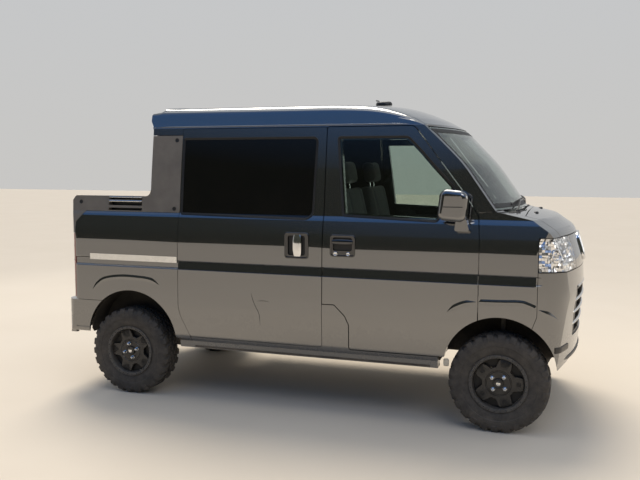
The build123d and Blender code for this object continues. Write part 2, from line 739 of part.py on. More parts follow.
FRAME_REGION = behind_axle((
    (-2281, SILL_BOTTOM_Z, 0),
    (FRAME_FRONT_X, SILL_BOTTOM_Z, 0),
    (FRAME_FRONT_X, ROOF_SEAM_Z - SEAT_GAP, 0),
    (-2281, ROOF_SEAM_Z - SEAT_GAP, 0),
))
COWL_LINE = behind_axle((
    (-142, 1280, 0),
    (70, 1303, 0),
    (480, 1500, 0),
    (480, 300, 0),
    (-124, 300, 0),
    (-124, 1120, 0),
))
with BuildPart() as cab_frame:
    add(layer(OUTER, CABIN))
    add(side_prism(FRAME_REGION), mode=Mode.INTERSECT)
    for room, outline, gap in (
        (WALL_SKIN, DOOR_OUTLINE, SEAM),
        (WALL_SKIN, SLIDING_OUTLINE, FIXED_SEAM),
        (PANEL_ROOM, COWL_LINE, 0),
        (WALL_SKIN, QUARTER_OUTLINE, FIXED_SEAM),
        (WALL_SKIN, PILLAR_TRIM, FIXED_SEAM),
    ):
        add(room & side_prism(outline, grow=gap), mode=Mode.SUBTRACT)
    for outline in (DOOR_OUTLINE, SLIDING_OUTLINE):
        add(side_prism(outline, grow=-APERTURE_LIP), mode=Mode.SUBTRACT)
    add(windshield_rebate.part, mode=Mode.SUBTRACT)
    add(windshield_prism(WINDSHIELD_FLANGE), mode=Mode.SUBTRACT)
    add(front_room, mode=Mode.SUBTRACT)
    add(rear_room, mode=Mode.SUBTRACT)
    add(front_arch.part, mode=Mode.SUBTRACT)
    add(rear_arch.part, mode=Mode.SUBTRACT)
# Hinge leaves bridge the seam behind the fender, up to the door's front face
HINGE_SPANS = ((730, 800), (1030, 1110))
with BuildPart() as hinge_leaves:
    for low, high in HINGE_SPANS:
        add(block(DOOR_FRONT_X + SEAT_GAP, DOOR_FRONT_X + SEAM + 2, -FAR, 0, low, high))
    add(layer(BACKING_LINE, WALL_LINE), mode=Mode.INTERSECT)
with BuildPart() as body_side_right:
    add(cab_frame.part)
    add(block(-FAR, FAR, -FAR, -SIDE_INNER_Y, -FAR, FAR), mode=Mode.INTERSECT)
    add(hinge_leaves.part)
HOOD_HINGE_X = COWL_X + SEAM + 5
with BuildPart() as hood_seats:
    add(body_form(HOOD_THICKNESS + SEAT_GAP))
    add(both_sides(block(HOOD_HINGE_X + 8, FRONT_X + FRAME_FRONT_X, -440, -400, 1190, FAR)),
        mode=Mode.INTERSECT)
    add(CABIN, mode=Mode.SUBTRACT)
with BuildPart() as cross_rails:
    add(cab_frame.part)
    add(block(-FAR, FAR, -SIDE_INNER_Y, SIDE_INNER_Y, -FAR, FAR), mode=Mode.INTERSECT)
    add(hood_seats.part)

# Radiator support: the body's inner shell ahead of the wheels, which carries lamps and bumper
SUPPORT_LOW_Z = 425
with BuildPart() as radiator_support:
    add(layer(BACKING_LINE, CABIN))
    add(block(FRONT_X + FRAME_FRONT_X + SEAT_GAP, FAR, -FAR, FAR, SUPPORT_LOW_Z, HOOD_NOSE_Z - 8),
        mode=Mode.INTERSECT)
    add(front_prism(GRILLE_OPENING, FRONT_X, FAR, grow=12), mode=Mode.SUBTRACT)
    add(WALL_SKIN & both_sides(side_prism(LAMP_OUTLINE, -FAR, -LAMP_INNER_Y + SEAT_GAP, SEAT_GAP)),
        mode=Mode.SUBTRACT)
    add(front_room, mode=Mode.SUBTRACT)
    add(front_arch.part, mode=Mode.SUBTRACT)
RADIATOR_X = FRONT_X + 262
radiator = block(RADIATOR_X, RADIATOR_X + 32, -285, 285, RAIL_LOW_Z + MEMBER_HEIGHT + SEAT_GAP, 880)

# Floor: one pressed sheet from the rear wall over the seat box to the firewall
REAR_WALL_THICKNESS = 35
CABIN_HALF_WIDTH = HALF_WIDTH - WALL_THICKNESS - SEAT_GAP
FIREWALL_X = FRONT_X + 95
FIREWALL_TOP_Z = 1228
SEAT_BOX_REAR_X = FRONT_X - 985
SEAT_BOX_FRONT_X = FRONT_X - 440
floor_low = FLOOR_Z - FLOOR_THICKNESS
box_low = SEAT_BOX_Z - FLOOR_THICKNESS
rear_wall_inner_x = CAB_REAR_X + REAR_WALL_THICKNESS + SEAT_GAP
FLOOR_OUTLINE = (
    (rear_wall_inner_x, floor_low, 0),
    (SEAT_BOX_REAR_X + FLOOR_THICKNESS, floor_low, 10),
    (SEAT_BOX_REAR_X + FLOOR_THICKNESS, box_low, 10),
    (SEAT_BOX_FRONT_X - FLOOR_THICKNESS, box_low, 10),
    (SEAT_BOX_FRONT_X - FLOOR_THICKNESS, floor_low, 10),
    (FRONT_X - 80, floor_low, 60),
    (FIREWALL_X, 690, 60),
    (FIREWALL_X, FIREWALL_TOP_Z, 0),
    (FIREWALL_X - FLOOR_THICKNESS, FIREWALL_TOP_Z, 0),
    (FIREWALL_X - FLOOR_THICKNESS, 705, 40),
    (FRONT_X - 95, FLOOR_Z, 40),
    (SEAT_BOX_FRONT_X, FLOOR_Z, 20),
    (SEAT_BOX_FRONT_X, SEAT_BOX_Z, 25),
    (SEAT_BOX_REAR_X, SEAT_BOX_Z, 25),
    (SEAT_BOX_REAR_X, FLOOR_Z, 20),
    (rear_wall_inner_x, FLOOR_Z, 0),
)
with BuildPart() as floor_pan:
    add(side_prism(FLOOR_OUTLINE, -CABIN_HALF_WIDTH, CABIN_HALF_WIDTH))
    add(CABIN_FIT, mode=Mode.INTERSECT)
    add(front_room, mode=Mode.SUBTRACT)
    add(rear_room, mode=Mode.SUBTRACT)

# Cab's back wall with its window
REAR_WINDOW = ((-560, 1330, 45), (560, 1330, 45), (530, 1700, 45), (-530, 1700, 45))
with BuildPart() as cab_rear_wall:
    add(section_prism(WALL_THICKNESS + SEAT_GAP, ROOF_THICKNESS))
    add(block(CAB_REAR_X, CAB_REAR_X + REAR_WALL_THICKNESS, -FAR, FAR, floor_low,
              ROOF_SEAM_Z - SEAT_GAP), mode=Mode.INTERSECT)
    add(front_prism(REAR_WINDOW, -FAR, CAB_REAR_X + 8 + SEAT_GAP), mode=Mode.SUBTRACT)
    add(front_prism(REAR_WINDOW, -FAR, FAR, grow=-WINDOW_FLANGE), mode=Mode.SUBTRACT)
    add(rear_room, mode=Mode.SUBTRACT)
rear_window = front_prism(REAR_WINDOW, CAB_REAR_X + 3, CAB_REAR_X + 8, grow=-2)

# Bed floor with ribs under it that sit on the chassis rails
BED_FLOOR_THICKNESS = 28
BED_RIB_X = (REAR_X - 330, REAR_X - 80, CAB_REAR_X - 60)
with BuildPart() as bed_floor:
    add(block(-FAR, CAB_REAR_X - SEAT_GAP, -FAR, FAR,
              BED_FLOOR_Z - BED_FLOOR_THICKNESS, BED_FLOOR_Z))
    add(WALL_LINE, mode=Mode.INTERSECT)
    for x in BED_RIB_X:
        add(block(x, x + 50, -470, 470, RAIL_HIGH_Z + RAIL_HEIGHT + SEAT_GAP,
                  BED_FLOOR_Z - BED_FLOOR_THICKNESS))
    sill_top = GATE_HINGE_Z - GATE_BARREL_RADIUS - SEAT_GAP
    floor_end = BED_REAR_X + WALL_INSET
    add(block(floor_end, floor_end + 14, -600, 600, sill_top - 12, BED_FLOOR_Z))
    add(block(GATE_HINGE_X - GATE_BARREL_RADIUS, floor_end, -600, 600, sill_top - 12, sill_top))
    add(rear_room, mode=Mode.SUBTRACT)

# Chassis: two rails that step up over the rear axle, with cross members
rail_end_x = TAIL_X + REAR_BUMPER_THICKNESS + SEAT_GAP
RAIL_OUTLINE = (
    (FRONT_X + NOSE_REACH, RAIL_LOW_Z, 0),
    (FRONT_X + NOSE_REACH, RAIL_LOW_Z + RAIL_HEIGHT, 0),
    (CAB_REAR_X - 30, RAIL_LOW_Z + RAIL_HEIGHT, 40),
    (CAB_REAR_X - 130, RAIL_HIGH_Z + RAIL_HEIGHT, 40),
    (rail_end_x, RAIL_HIGH_Z + RAIL_HEIGHT, 0),
    (rail_end_x, RAIL_HIGH_Z, 0),
    (CAB_REAR_X - 95, RAIL_HIGH_Z, 40),
    (CAB_REAR_X + 5, RAIL_LOW_Z, 40),
)
CROSS_MEMBERS = (
    (FRONT_X + 250, RAIL_LOW_Z),
    (FRONT_X - 560, RAIL_LOW_Z),
    (FRONT_X - 900, RAIL_LOW_Z),
    (FRONT_X - 1500, RAIL_LOW_Z),
    (FRONT_X - 2000, RAIL_LOW_Z),
    (BED_REAR_X + 60, RAIL_HIGH_Z),
)
rail_in, rail_out = RAIL_MIDDLE_Y - RAIL_WIDTH / 2, RAIL_MIDDLE_Y + RAIL_WIDTH / 2
with BuildPart() as chassis_frame:
    add(both_sides(side_prism(RAIL_OUTLINE, -rail_out, -rail_in)))
    add(nose_cutter(WALL_THICKNESS + SEAT_GAP), mode=Mode.SUBTRACT)
    for x, z in CROSS_MEMBERS:
        add(block(x, x + MEMBER_LENGTH, -rail_in, rail_in, z, z + MEMBER_HEIGHT))

# Engine: one plain block under the front seats, resting on two cross members
with BuildPart() as engine_block:
    add(block(FRONT_X - 900, FRONT_X - 510, -225, 225,
              RAIL_LOW_Z + MEMBER_HEIGHT + SEAT_GAP, 715))

# Rear axle: tube with a round differential, coil springs up to the rails, brake drums
AXLE_TUBE_RADIUS = 36
SPINDLE_RADIUS = 17
HUB_INNER_Y = 604
DRUM_INNER_Y = 552
with BuildPart() as rear_axle:
    add(side_drum(REAR_X, TYRE_RADIUS, AXLE_TUBE_RADIUS, -DRUM_INNER_Y, DRUM_INNER_Y))
    with Locations((REAR_X, 0, TYRE_RADIUS)):
        Sphere(112)
    for side in (-1, 1):
        low, high = sorted((side * DRUM_INNER_Y, side * (HUB_INNER_Y - 2)))
        add(side_drum(REAR_X, TYRE_RADIUS, 118, low, high))
        low, high = sorted((side * DRUM_INNER_Y, side * (WHEEL_FACE_Y - 34)))
        add(side_drum(REAR_X, TYRE_RADIUS, SPINDLE_RADIUS, low, high))
        with Locations((REAR_X, side * RAIL_MIDDLE_Y, TYRE_RADIUS + 28)):
            Cylinder(62, 20, align=(Align.CENTER, Align.CENTER, Align.MIN))
            Cylinder(46, RAIL_HIGH_Z - TYRE_RADIUS - 28 - SEAT_GAP,
                     align=(Align.CENTER, Align.CENTER, Align.MIN))

# Steering axis: leans in from the ball joint to the strut's top mount
BALL_JOINT_Y = 558
BALL_JOINT_Z = 212
STRUT_TOP_Y = 450
STRUT_TOP_Z = 690
lean = atan2(BALL_JOINT_Y - STRUT_TOP_Y, STRUT_TOP_Z - BALL_JOINT_Z)
steer_plane = Plane(
    origin=(FRONT_X, -BALL_JOINT_Y, BALL_JOINT_Z),
    x_dir=(1, 0, 0),
    z_dir=(0, sin(lean), cos(lean)),
)
STRUT_LENGTH = hypot(BALL_JOINT_Y - STRUT_TOP_Y, STRUT_TOP_Z - BALL_JOINT_Z)
with BuildPart() as knuckle_right:
    for start, end, radius in (
        (0, 20, 13),
        (20, 150, 26),
        (150, 330, 20),
        (330, 338, 34),
        (338, STRUT_LENGTH, 13),
        (STRUT_LENGTH - 14, STRUT_LENGTH, 40),
    ):
        with BuildSketch(steer_plane.offset(start)):
            Circle(radius)
        extrude(amount=end - start)
    add(side_drum(FRONT_X, TYRE_RADIUS, 34, -HUB_INNER_Y + 2, -545))
    add(side_drum(FRONT_X, TYRE_RADIUS, SPINDLE_RADIUS, -WHEEL_FACE_Y + 34, -545))

# Front suspension: cross member below the rails and a tapered lower arm on each side
ARM_LOW_Z = 188
ARM_HIGH_Z = 206
ARM_PLAN = (
    (FRONT_X - 110, -rail_in, 0),
    (FRONT_X + 110, -rail_in, 0),
    (FRONT_X + 22, -BALL_JOINT_Y + 6, 12),
    (FRONT_X + 20, -BALL_JOINT_Y - 20, 14),
    (FRONT_X - 20, -BALL_JOINT_Y - 20, 14),
    (FRONT_X - 22, -BALL_JOINT_Y + 6, 12),
)
with BuildPart() as lower_arm:
    add(plan_prism(ARM_PLAN, ARM_LOW_Z, ARM_HIGH_Z))
    with BuildSketch(steer_plane.offset(-SEAT_GAP)):
        Circle(17)
    extrude(amount=-14)
    add(block(FRONT_X - 60, FRONT_X + 60, -rail_out, -rail_in, ARM_HIGH_Z - 4,
              RAIL_LOW_Z - SEAT_GAP))
with BuildPart() as front_suspension:
    add(both_sides(lower_arm.part))
    add(block(FRONT_X - 50, FRONT_X + 50, -rail_in, rail_in, 300, 360))

# Strut towers close the gap between the strut's top and the wheel housing
with BuildPart() as front_housing_right:
    add(front_housing)
    with BuildSketch(steer_plane.offset(STRUT_LENGTH + SEAT_GAP)):
        Circle(44)
    extrude(amount=60)
wheel_housings_front = both_sides(front_housing_right.part)
wheel_housings_rear = both_sides(rear_housing)

# Fuel tank and exhaust
with BuildPart() as fuel_tank:
    add(block(FRONT_X - 1980, FRONT_X - 1470, -rail_in + 8, rail_in - 200, 300,
              RAIL_LOW_Z - SEAT_GAP))
    fillet(fuel_tank.part.edges().filter_by(Axis.X), radius=25)
with BuildPart() as exhaust:
    with BuildLine() as exhaust_line:
        FilletPolyline(
            (FRONT_X - 900 - SEAT_GAP, 100, 466),
            (FRONT_X - 1020, 100, 466),
            (FRONT_X - 1150, 180, 385),
            (FRONT_X - 2120, 180, 385),
            (REAR_X - 180, 240, 430),
            (TAIL_X + 60, 240, 430),
            radius=60,
        )
    with BuildSketch(Plane(origin=exhaust_line.line @ 0, z_dir=exhaust_line.line % 0)):
        Circle(19)
    sweep()

# Seats: a cushion and a leaning back with a head restraint, as one form each
FRONT_SEAT = behind_axle((
    (-455, SEAT_BOX_Z + SEAT_GAP, 20),
    (-455, 905, 40),
    (-880, 880, 30),
    (-985, 1395, 25),
    (-972, 1420, 0),
    (-1000, 1580, 25),
    (-1075, 1580, 25),
    (-1085, 1410, 40),
    (-975, SEAT_BOX_Z + SEAT_GAP, 0),
))
REAR_SEAT = behind_axle((
    (-1640, FLOOR_Z + SEAT_GAP, 20),
    (-1640, 900, 45),
    (-2040, 880, 30),
    (-2120, 1420, 30),
    (-2225, 1420, 30),
    (-2225, FLOOR_Z + SEAT_GAP, 0),
))
SEAT_INNER_Y = 70
SEAT_OUTER_Y = 570
front_seat_right = side_prism(FRONT_SEAT, -SEAT_OUTER_Y, -SEAT_INNER_Y)
front_seats = both_sides(front_seat_right)
with BuildPart() as rear_seat:
    add(side_prism(REAR_SEAT, -590, 590))
    add(rear_room, mode=Mode.SUBTRACT)

# Dashboard, with the steering wheel on the right
DASH = behind_axle((
    (-345, 985, 30),
    (-330, 1205, 50),
    (-190, 1262, 60),
    (FIREWALL_X - FRONT_X - FLOOR_THICKNESS - SEAT_GAP, 1222, 0),
    (FIREWALL_X - FRONT_X - FLOOR_THICKNESS - SEAT_GAP, 1010, 0),
    (-250, 930, 40),
))
with BuildPart() as dashboard:
    add(side_prism(DASH, -640, 640))
    add(CABIN_FIT, mode=Mode.INTERSECT)
WHEEL_Y = -320
column = Plane(origin=(FRONT_X - 348, WHEEL_Y, 1080), x_dir=(0, 1, 0), z_dir=(-0.64, 0, 0.77))
with BuildPart() as steering_wheel:
    with BuildSketch(column.offset(-6)):
        Circle(26)
    extrude(amount=130)
    with BuildSketch(column.offset(122)):
        Circle(52)
        Rectangle(340, 26)
        Rectangle(26, 170)
    extrude(amount=14)
    with BuildSketch(Plane(origin=column.offset(129).origin, x_dir=(0, 1, 0),
                           z_dir=column.x_dir.cross(column.z_dir))):
        with Locations((180, 0)):
            Circle(13)
    revolve(axis=Axis(column.offset(129).origin, column.z_dir))
    add(dashboard.part, mode=Mode.SUBTRACT)

# Cowl panel between the windshield and the hood
COWL_OUTLINE = behind_axle(((-60, 1236, 0), (118, 1236, 0), (118, 1400, 0), (-60, 1400, 0)))
with BuildPart() as cowl:
    add(PANEL_SKIN)
    add(side_prism(COWL_OUTLINE, -HOOD_HALF_WIDTH + 2, HOOD_HALF_WIDTH - 2), mode=Mode.INTERSECT)
    add(block(-FAR, FAR, -FAR, FAR, WINDSHIELD_LOW_Z - 14, FAR), mode=Mode.SUBTRACT)

# Wheels
TYRE_PROFILE = (
    (-WHEEL_FACE_Y + 13.3, RIM_RADIUS + 0.5, 0),
    (-WHEEL_FACE_Y + 3, 190, 10),
    (-WHEEL_FACE_Y - 1, 228, 25),
    (-WHEEL_FACE_Y + 7, 276, 14),
    (-WHEEL_FACE_Y + 20, TYRE_RADIUS, 10),
)
RIM_SEAT_RADIUS = 156
BARREL_RADIUS = 147
HUB_FACE_Y = WHEEL_FACE_Y - 30
SPOKE_COUNT = 5


def tyre_profile():
    """Half outline of the tyre's section from the outer bead to the tread, then mirrored."""
    half = [(y + WHEEL_MID_Y, r, f) for y, r, f in TYRE_PROFILE]
    mirrored = [(-y, r, f) for y, r, f in reversed(half)]
    seat = -half[0][0] - 3.2
    inner = [(seat, RIM_SEAT_RADIUS + SEAT_GAP, 0), (-seat, RIM_SEAT_RADIUS + SEAT_GAP, 0)]
    return half + mirrored + inner


with BuildPart() as tyre:
    with BuildSketch(Plane.XY) as section:
        with BuildLine():
            rows = tyre_profile()
            FilletPolyline(*[(r, y) for y, r, f in rows], radius=[f for y, r, f in rows], close=True)
        make_face()
    revolve(axis=Axis.Y)

half_width = TYRE_WIDTH / 2
RIM_OUTLINE = (
    (RIM_RADIUS, -half_width + 6, 2),
    (RIM_RADIUS, -half_width + 13, 0),
    (RIM_SEAT_RADIUS, -half_width + 16, 0),
    (RIM_SEAT_RADIUS, half_width - 16, 0),
    (RIM_RADIUS, half_width - 13, 0),
    (RIM_RADIUS, half_width - 6, 2),
    (RIM_RADIUS - 10, half_width - 6, 2),
    (BARREL_RADIUS, half_width - 18, 6),
    (BARREL_RADIUS, -half_width + 18, 6),
    (RIM_RADIUS - 10, -half_width + 4, 2),
)
DISC_OUTER = -half_width + 22
DISC_INNER = -half_width + 34
with BuildPart() as rim:
    with BuildSketch(Plane.XY):
        with BuildLine():
            FilletPolyline(*[(r, y) for r, y, f in RIM_OUTLINE],
                           radius=[f for r, y, f in RIM_OUTLINE], close=True)
        make_face()
    revolve(axis=Axis.Y)
    with BuildSketch(Plane.XZ.offset(-DISC_INNER)):
        Circle(BARREL_RADIUS + 2)
        Circle(SPINDLE_RADIUS + RUNNING_GAP, mode=Mode.SUBTRACT)
        with PolarLocations(116, SPOKE_COUNT, start_angle=37):
            SlotOverall(96, 48, rotation=90, mode=Mode.SUBTRACT)
        with PolarLocations(126, SPOKE_COUNT, start_angle=1):
            Circle(11, mode=Mode.SUBTRACT)
    extrude(amount=DISC_INNER - DISC_OUTER)
    with BuildSketch(Plane.XZ.offset(-(WHEEL_MID_Y - HUB_INNER_Y))):
        Circle(46)
        Circle(SPINDLE_RADIUS + RUNNING_GAP, mode=Mode.SUBTRACT)
    extrude(amount=WHEEL_MID_Y - HUB_INNER_Y - DISC_INNER)
    with BuildSketch(Plane.XZ.offset(-DISC_OUTER)):
        Circle(30)
    extrude(amount=12)

WHEELS = (
    ("front_right", FRONT_X, -1),
    ("front_left", FRONT_X, 1),
    ("rear_right", REAR_X, -1),
    ("rear_left", REAR_X, 1),
)
for place, x, side in WHEELS:
    for kind, piece in (("tyre", tyre.part), ("rim", rim.part)):
        with BuildPart() as placed:
            add(piece.moved(Location((x, -WHEEL_MID_Y, TYRE_RADIUS))))
        right = placed.part
        save(f"{kind}_{place}", right if side < 0 else left_of(right))

PIECES = {
    "body_side_right": body_side_right.part,
    "body_side_left": left_of(body_side_right.part),
    "cross_rails": cross_rails.part,
    "roof": roof.part,
    "floor_pan": floor_pan.part,
    "cab_rear_wall": cab_rear_wall.part,
    "rear_window": rear_window,
    "windshield": windshield.part,
    "cowl": cowl.part,
    "radiator_support": radiator_support.part,
    "radiator": radiator,
    "wheel_housings_front": wheel_housings_front,
    "wheel_housings_rear": wheel_housings_rear,
    "fenders": both_sides(fender_right.part),
    "front_bumper": front_bumper.part,
    "grille": grille.part,
    "nose_panel": nose_panel.part,
    "headlamps": both_sides(headlamp_right.part),
    "sliding_door_right": sliding_right_cut.part,
    "sliding_door_left": left_of(sliding_right_cut.part),
    "sliding_glass": both_sides(sliding_glass_right),
    "sliding_handles": both_sides(sliding_handle_right),
    "rail_covers": both_sides(rail_right),
    "quarter_panels": both_sides(quarter_right.part),
    "bed_guards": both_sides(bed_guard_right.part),
    "bed_floor": bed_floor.part,
    "tail_lamps": both_sides(tail_lamp_right.part),
    "rear_bumper": rear_bumper.part,
    "front_seats": front_seats,
    "rear_seat": rear_seat.part,
    "dashboard": dashboard.part,
    "steering_wheel": steering_wheel.part,
    "engine_block": engine_block.part,
    "chassis_frame": chassis_frame.part,
    "front_suspension": front_suspension.part,
    "rear_axle": rear_axle.part,
    "fuel_tank": fuel_tank.part,
    "exhaust": exhaust.part,
    "door_right": door_right_cut.part,
    "door_left": left_of(door_right_cut.part),
    "door_glass_right": door_glass_right,
    "door_glass_left": left_of(door_glass_right),
    "mirror_right": mirror_right.part,
    "mirror_left": left_of(mirror_right.part),
    "handle_right": handle_right,
    "handle_left": left_of(handle_right),
    "hood": hood.part,
    "tailgate": tailgate.part,
    "knuckle_right": knuckle_right.part,
    "knuckle_left": left_of(knuckle_right.part),
}
for name, piece in PIECES.items():
    save(name, piece)
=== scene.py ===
"""Looks of the crew-cab microtruck: paint, glass, trim, tyres, lamps, cabin and studio.

Pieces are made in millimetres in the CAD frame (+X forward, +Y left, +Z up, ground at zero)
and scaled to metres as each mesh is finished.
"""

import json
import random
from math import atan2, cos, hypot, pi, radians, sin

import bpy
from mathutils import Matrix, Vector
from mathutils.bvhtree import BVHTree


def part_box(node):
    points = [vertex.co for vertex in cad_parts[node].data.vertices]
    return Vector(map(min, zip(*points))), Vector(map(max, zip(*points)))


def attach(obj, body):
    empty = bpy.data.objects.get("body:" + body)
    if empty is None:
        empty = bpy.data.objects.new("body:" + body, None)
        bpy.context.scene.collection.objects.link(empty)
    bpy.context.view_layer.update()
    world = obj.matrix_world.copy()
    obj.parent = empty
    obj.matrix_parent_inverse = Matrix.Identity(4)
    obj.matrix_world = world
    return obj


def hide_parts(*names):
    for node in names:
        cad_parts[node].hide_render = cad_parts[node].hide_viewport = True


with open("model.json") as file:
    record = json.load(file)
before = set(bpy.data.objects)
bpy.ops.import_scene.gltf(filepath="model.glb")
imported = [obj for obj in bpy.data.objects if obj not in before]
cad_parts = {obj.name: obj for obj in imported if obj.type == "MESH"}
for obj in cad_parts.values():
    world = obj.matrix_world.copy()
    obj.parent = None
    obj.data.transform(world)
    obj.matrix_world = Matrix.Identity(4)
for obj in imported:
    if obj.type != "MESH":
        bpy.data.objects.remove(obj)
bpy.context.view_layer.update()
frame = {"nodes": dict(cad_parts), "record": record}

MM = 0.001
SIDES = (("right", -1), ("left", 1))
WHEELS = (
    ("front_right", "front", -1),
    ("front_left", "front", 1),
    ("rear_right", "rear", -1),
    ("rear_left", "rear", 1),
)


def node_box(node):
    """Lowest and highest corner of a CAD node in millimetres."""
    low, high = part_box(node)
    return low / MM, high / MM


def node_middle(node):
    """Middle of a CAD node's box in millimetres."""
    low, high = node_box(node)
    return (low + high) / 2


# Shader graphs


class Graph:
    """Short hand for adding and wiring nodes in one material, world or group."""

    def __init__(self, tree):
        self.tree = tree

    def add(self, kind, settings=None, **inputs):
        """New node with plain settings and inputs."""
        node = self.tree.nodes.new(kind)
        for name, value in (settings or {}).items():
            setattr(node, name, value)
        return self.feed(node, **inputs)

    def feed(self, node, **inputs):
        """Set or link a node's inputs, named in snake case or by number as i0, i1."""
        for name, value in inputs.items():
            if name[0] == "i" and name[1:].isdigit():
                socket = node.inputs[int(name[1:])]
            else:
                socket = node.inputs[name.replace("_", " ").title().replace("Ior", "IOR")]
            if isinstance(value, bpy.types.NodeSocket):
                self.tree.links.new(value, socket)
            else:
                socket.default_value = value
        return node

    def math(self, operation, first, second=0.0, clamp=False):
        """Output of a Math node."""
        settings = {"operation": operation, "use_clamp": clamp}
        return self.add("ShaderNodeMath", settings, i0=first, i1=second).outputs[0]

    def blend(self, factor, first, second):
        """Output of a colour mix."""
        node = self.add("ShaderNodeMix", {"data_type": "RGBA"}, i0=factor, i6=first, i7=second)
        return node.outputs[2]

    def ramp(self, factor, *stops, smooth=False):
        """Colour ramp output; each stop is a position and a grey value or colour."""
        node = self.add("ShaderNodeValToRGB", i0=factor)
        if smooth:
            node.color_ramp.interpolation = "EASE"
        while len(node.color_ramp.elements) < len(stops):
            node.color_ramp.elements.new(0.5)
        for element, (position, value) in zip(node.color_ramp.elements, stops):
            element.position = position
            element.color = (value, value, value, 1) if isinstance(value, float) else (*value, 1)
        return node.outputs[0]

    def noise(self, vector, scale, detail=3.0, roughness=0.5):
        """Factor output of a noise texture."""
        inputs = {"vector": vector, "scale": scale, "detail": detail, "roughness": roughness}
        return self.add("ShaderNodeTexNoise", **inputs).outputs[0]

    def mottle(self, noise, low, high, first, second):
        """Two colours mixed in patches; noise holds scale, detail and roughness."""
        patches = self.ramp(self.noise(self.place(), *noise), (low, 0.0), (high, 1.0))
        return self.blend(patches, first, second)

    def place(self, scale=(1, 1, 1), rotation=(0, 0, 0)):
        """Object coordinates, stretched."""
        coordinates = self.add("ShaderNodeTexCoord").outputs["Object"]
        node = self.add("ShaderNodeMapping", vector=coordinates, scale=scale, rotation=rotation)
        return node.outputs[0]

    def part(self, vector, axis):
        """One part of a vector: X, Y or Z."""
        return self.add("ShaderNodeSeparateXYZ", i0=vector).outputs[axis]


def new_group(name, inputs, outputs):
    """Empty shader group: its graph, its given values by name, and its end node."""
    tree = bpy.data.node_groups.new(name, "ShaderNodeTree")
    for label, default in inputs:
        socket = tree.interface.new_socket(label, in_out="INPUT", socket_type="NodeSocketFloat")
        socket.default_value = default
    for label in outputs:
        tree.interface.new_socket(label, in_out="OUTPUT", socket_type="NodeSocketFloat")
    graph = Graph(tree)
    return graph, graph.add("NodeGroupInput").outputs, graph.add("NodeGroupOutput")


def make_dust_group():
    """Road dust: thick low down and on ledges that face up, in drifting patches."""
    inputs = (("Amount", 0.5), ("Low", 0.3), ("High", 1.1), ("Ledges", 0.3))
    graph, given, end = new_group("road dust", inputs, ("Mask",))
    height = graph.part(graph.add("ShaderNodeTexCoord").outputs["Object"], "Z")
    facing = graph.part(graph.add("ShaderNodeNewGeometry").outputs["Normal"], "Z")
    span = graph.math("SUBTRACT", given["High"], given["Low"])
    above = graph.math("SUBTRACT", height, given["Low"])
    low = graph.math("SUBTRACT", 1.0, graph.math("DIVIDE", above, span, True), True)
    ledge = graph.math("MULTIPLY", graph.math("MAXIMUM", facing, 0.0), given["Ledges"])
    drift = graph.ramp(graph.noise(graph.place(), 5.0, 6.0, 0.62), (0.3, 0.15), (0.72, 1.0))
    speck = graph.ramp(graph.noise(graph.place(), 90.0, 3.0, 0.6), (0.35, 0.55), (0.7, 1.0))
    base = graph.math("ADD", graph.math("MULTIPLY", low, low), ledge)
    mask = graph.math("MULTIPLY", graph.math("MULTIPLY", base, drift), speck)
    graph.feed(end, mask=graph.math("MULTIPLY", mask, given["Amount"], True))
    return graph.tree


def make_grain_group():
    """Moulded grain: fine pebbles with a soft large wave under them."""
    inputs = (("Scale", 900.0), ("Depth", 0.4), ("Wave", 0.2))
    graph, given, end = new_group("moulded grain", inputs, ("Height",))
    pebbles = graph.add(
        "ShaderNodeTexVoronoi", {"feature": "SMOOTH_F1"}, vector=graph.place(), scale=given["Scale"]
    ).outputs[0]
    wave = graph.math("MULTIPLY", graph.noise(graph.place(), 12.0), given["Wave"])
    graph.feed(end, height=graph.math("ADD", graph.math("MULTIPLY", pebbles, given["Depth"]), wave))
    return graph.tree


def make_scratch_group():
    """Fine scratches: thin stretched streaks that cross at two angles."""
    graph, given, end = new_group("fine scratches", (("Amount", 0.4),), ("Mask",))
    streaks = []
    for turn in (0.35, -0.6):
        line = graph.noise(graph.place((1.2, 1.2, 46.0), (0, turn, 0)), 9.0, 2.0, 0.5)
        streaks.append(graph.ramp(line, (0.68, 0.0), (0.72, 1.0)))
    where = graph.ramp(graph.noise(graph.place(), 2.3), (0.5, 0.0), (0.68, 1.0))
    mask = graph.math("MULTIPLY", graph.math("MAXIMUM", *streaks), where)
    graph.feed(end, mask=graph.math("MULTIPLY", mask, given["Amount"], True))
    return graph.tree


def make_cloth_group():
    """Woven cloth: warp and weft ribs with fleck from thread to thread."""
    graph, given, end = new_group("woven cloth", (("Threads", 700.0),), ("Height", "Fleck"))
    ribs = []
    for direction in ("X", "Z"):
        wave = graph.add(
            "ShaderNodeTexWave", {"bands_direction": direction},
            vector=graph.place(), scale=given["Threads"], distortion=0.6,
        )
        ribs.append(wave.outputs["Fac"])
    graph.feed(end, height=graph.math("MULTIPLY", *ribs), fleck=graph.noise(graph.place(), 260.0, 4.0, 0.7))
    return graph.tree


DUST = make_dust_group()
GRAIN = make_grain_group()
SCRATCHES = make_scratch_group()
CLOTH = make_cloth_group()
DUST_COLOUR = (0.36, 0.29, 0.21, 1)


def use_group(graph, tree, **values):
    """A group's node placed in a material with its own values."""
    return graph.add("ShaderNodeGroup", {"node_tree": tree}, **values)


def new_material(name, **sockets):
    """Material with its Principled shader's plain values set; gives it, its graph and shader."""
    material = bpy.data.materials.new(name)
    material.use_nodes = True
    graph = Graph(material.node_tree)
    return material, graph, graph.feed(material.node_tree.nodes["Principled BSDF"], **sockets)


def bump(graph, shader, height, strength, distance):
    """Feed a height into the shader's normal."""
    node = graph.add("ShaderNodeBump", strength=strength, distance=distance, height=height)
    graph.feed(shader, normal=node.outputs[0])


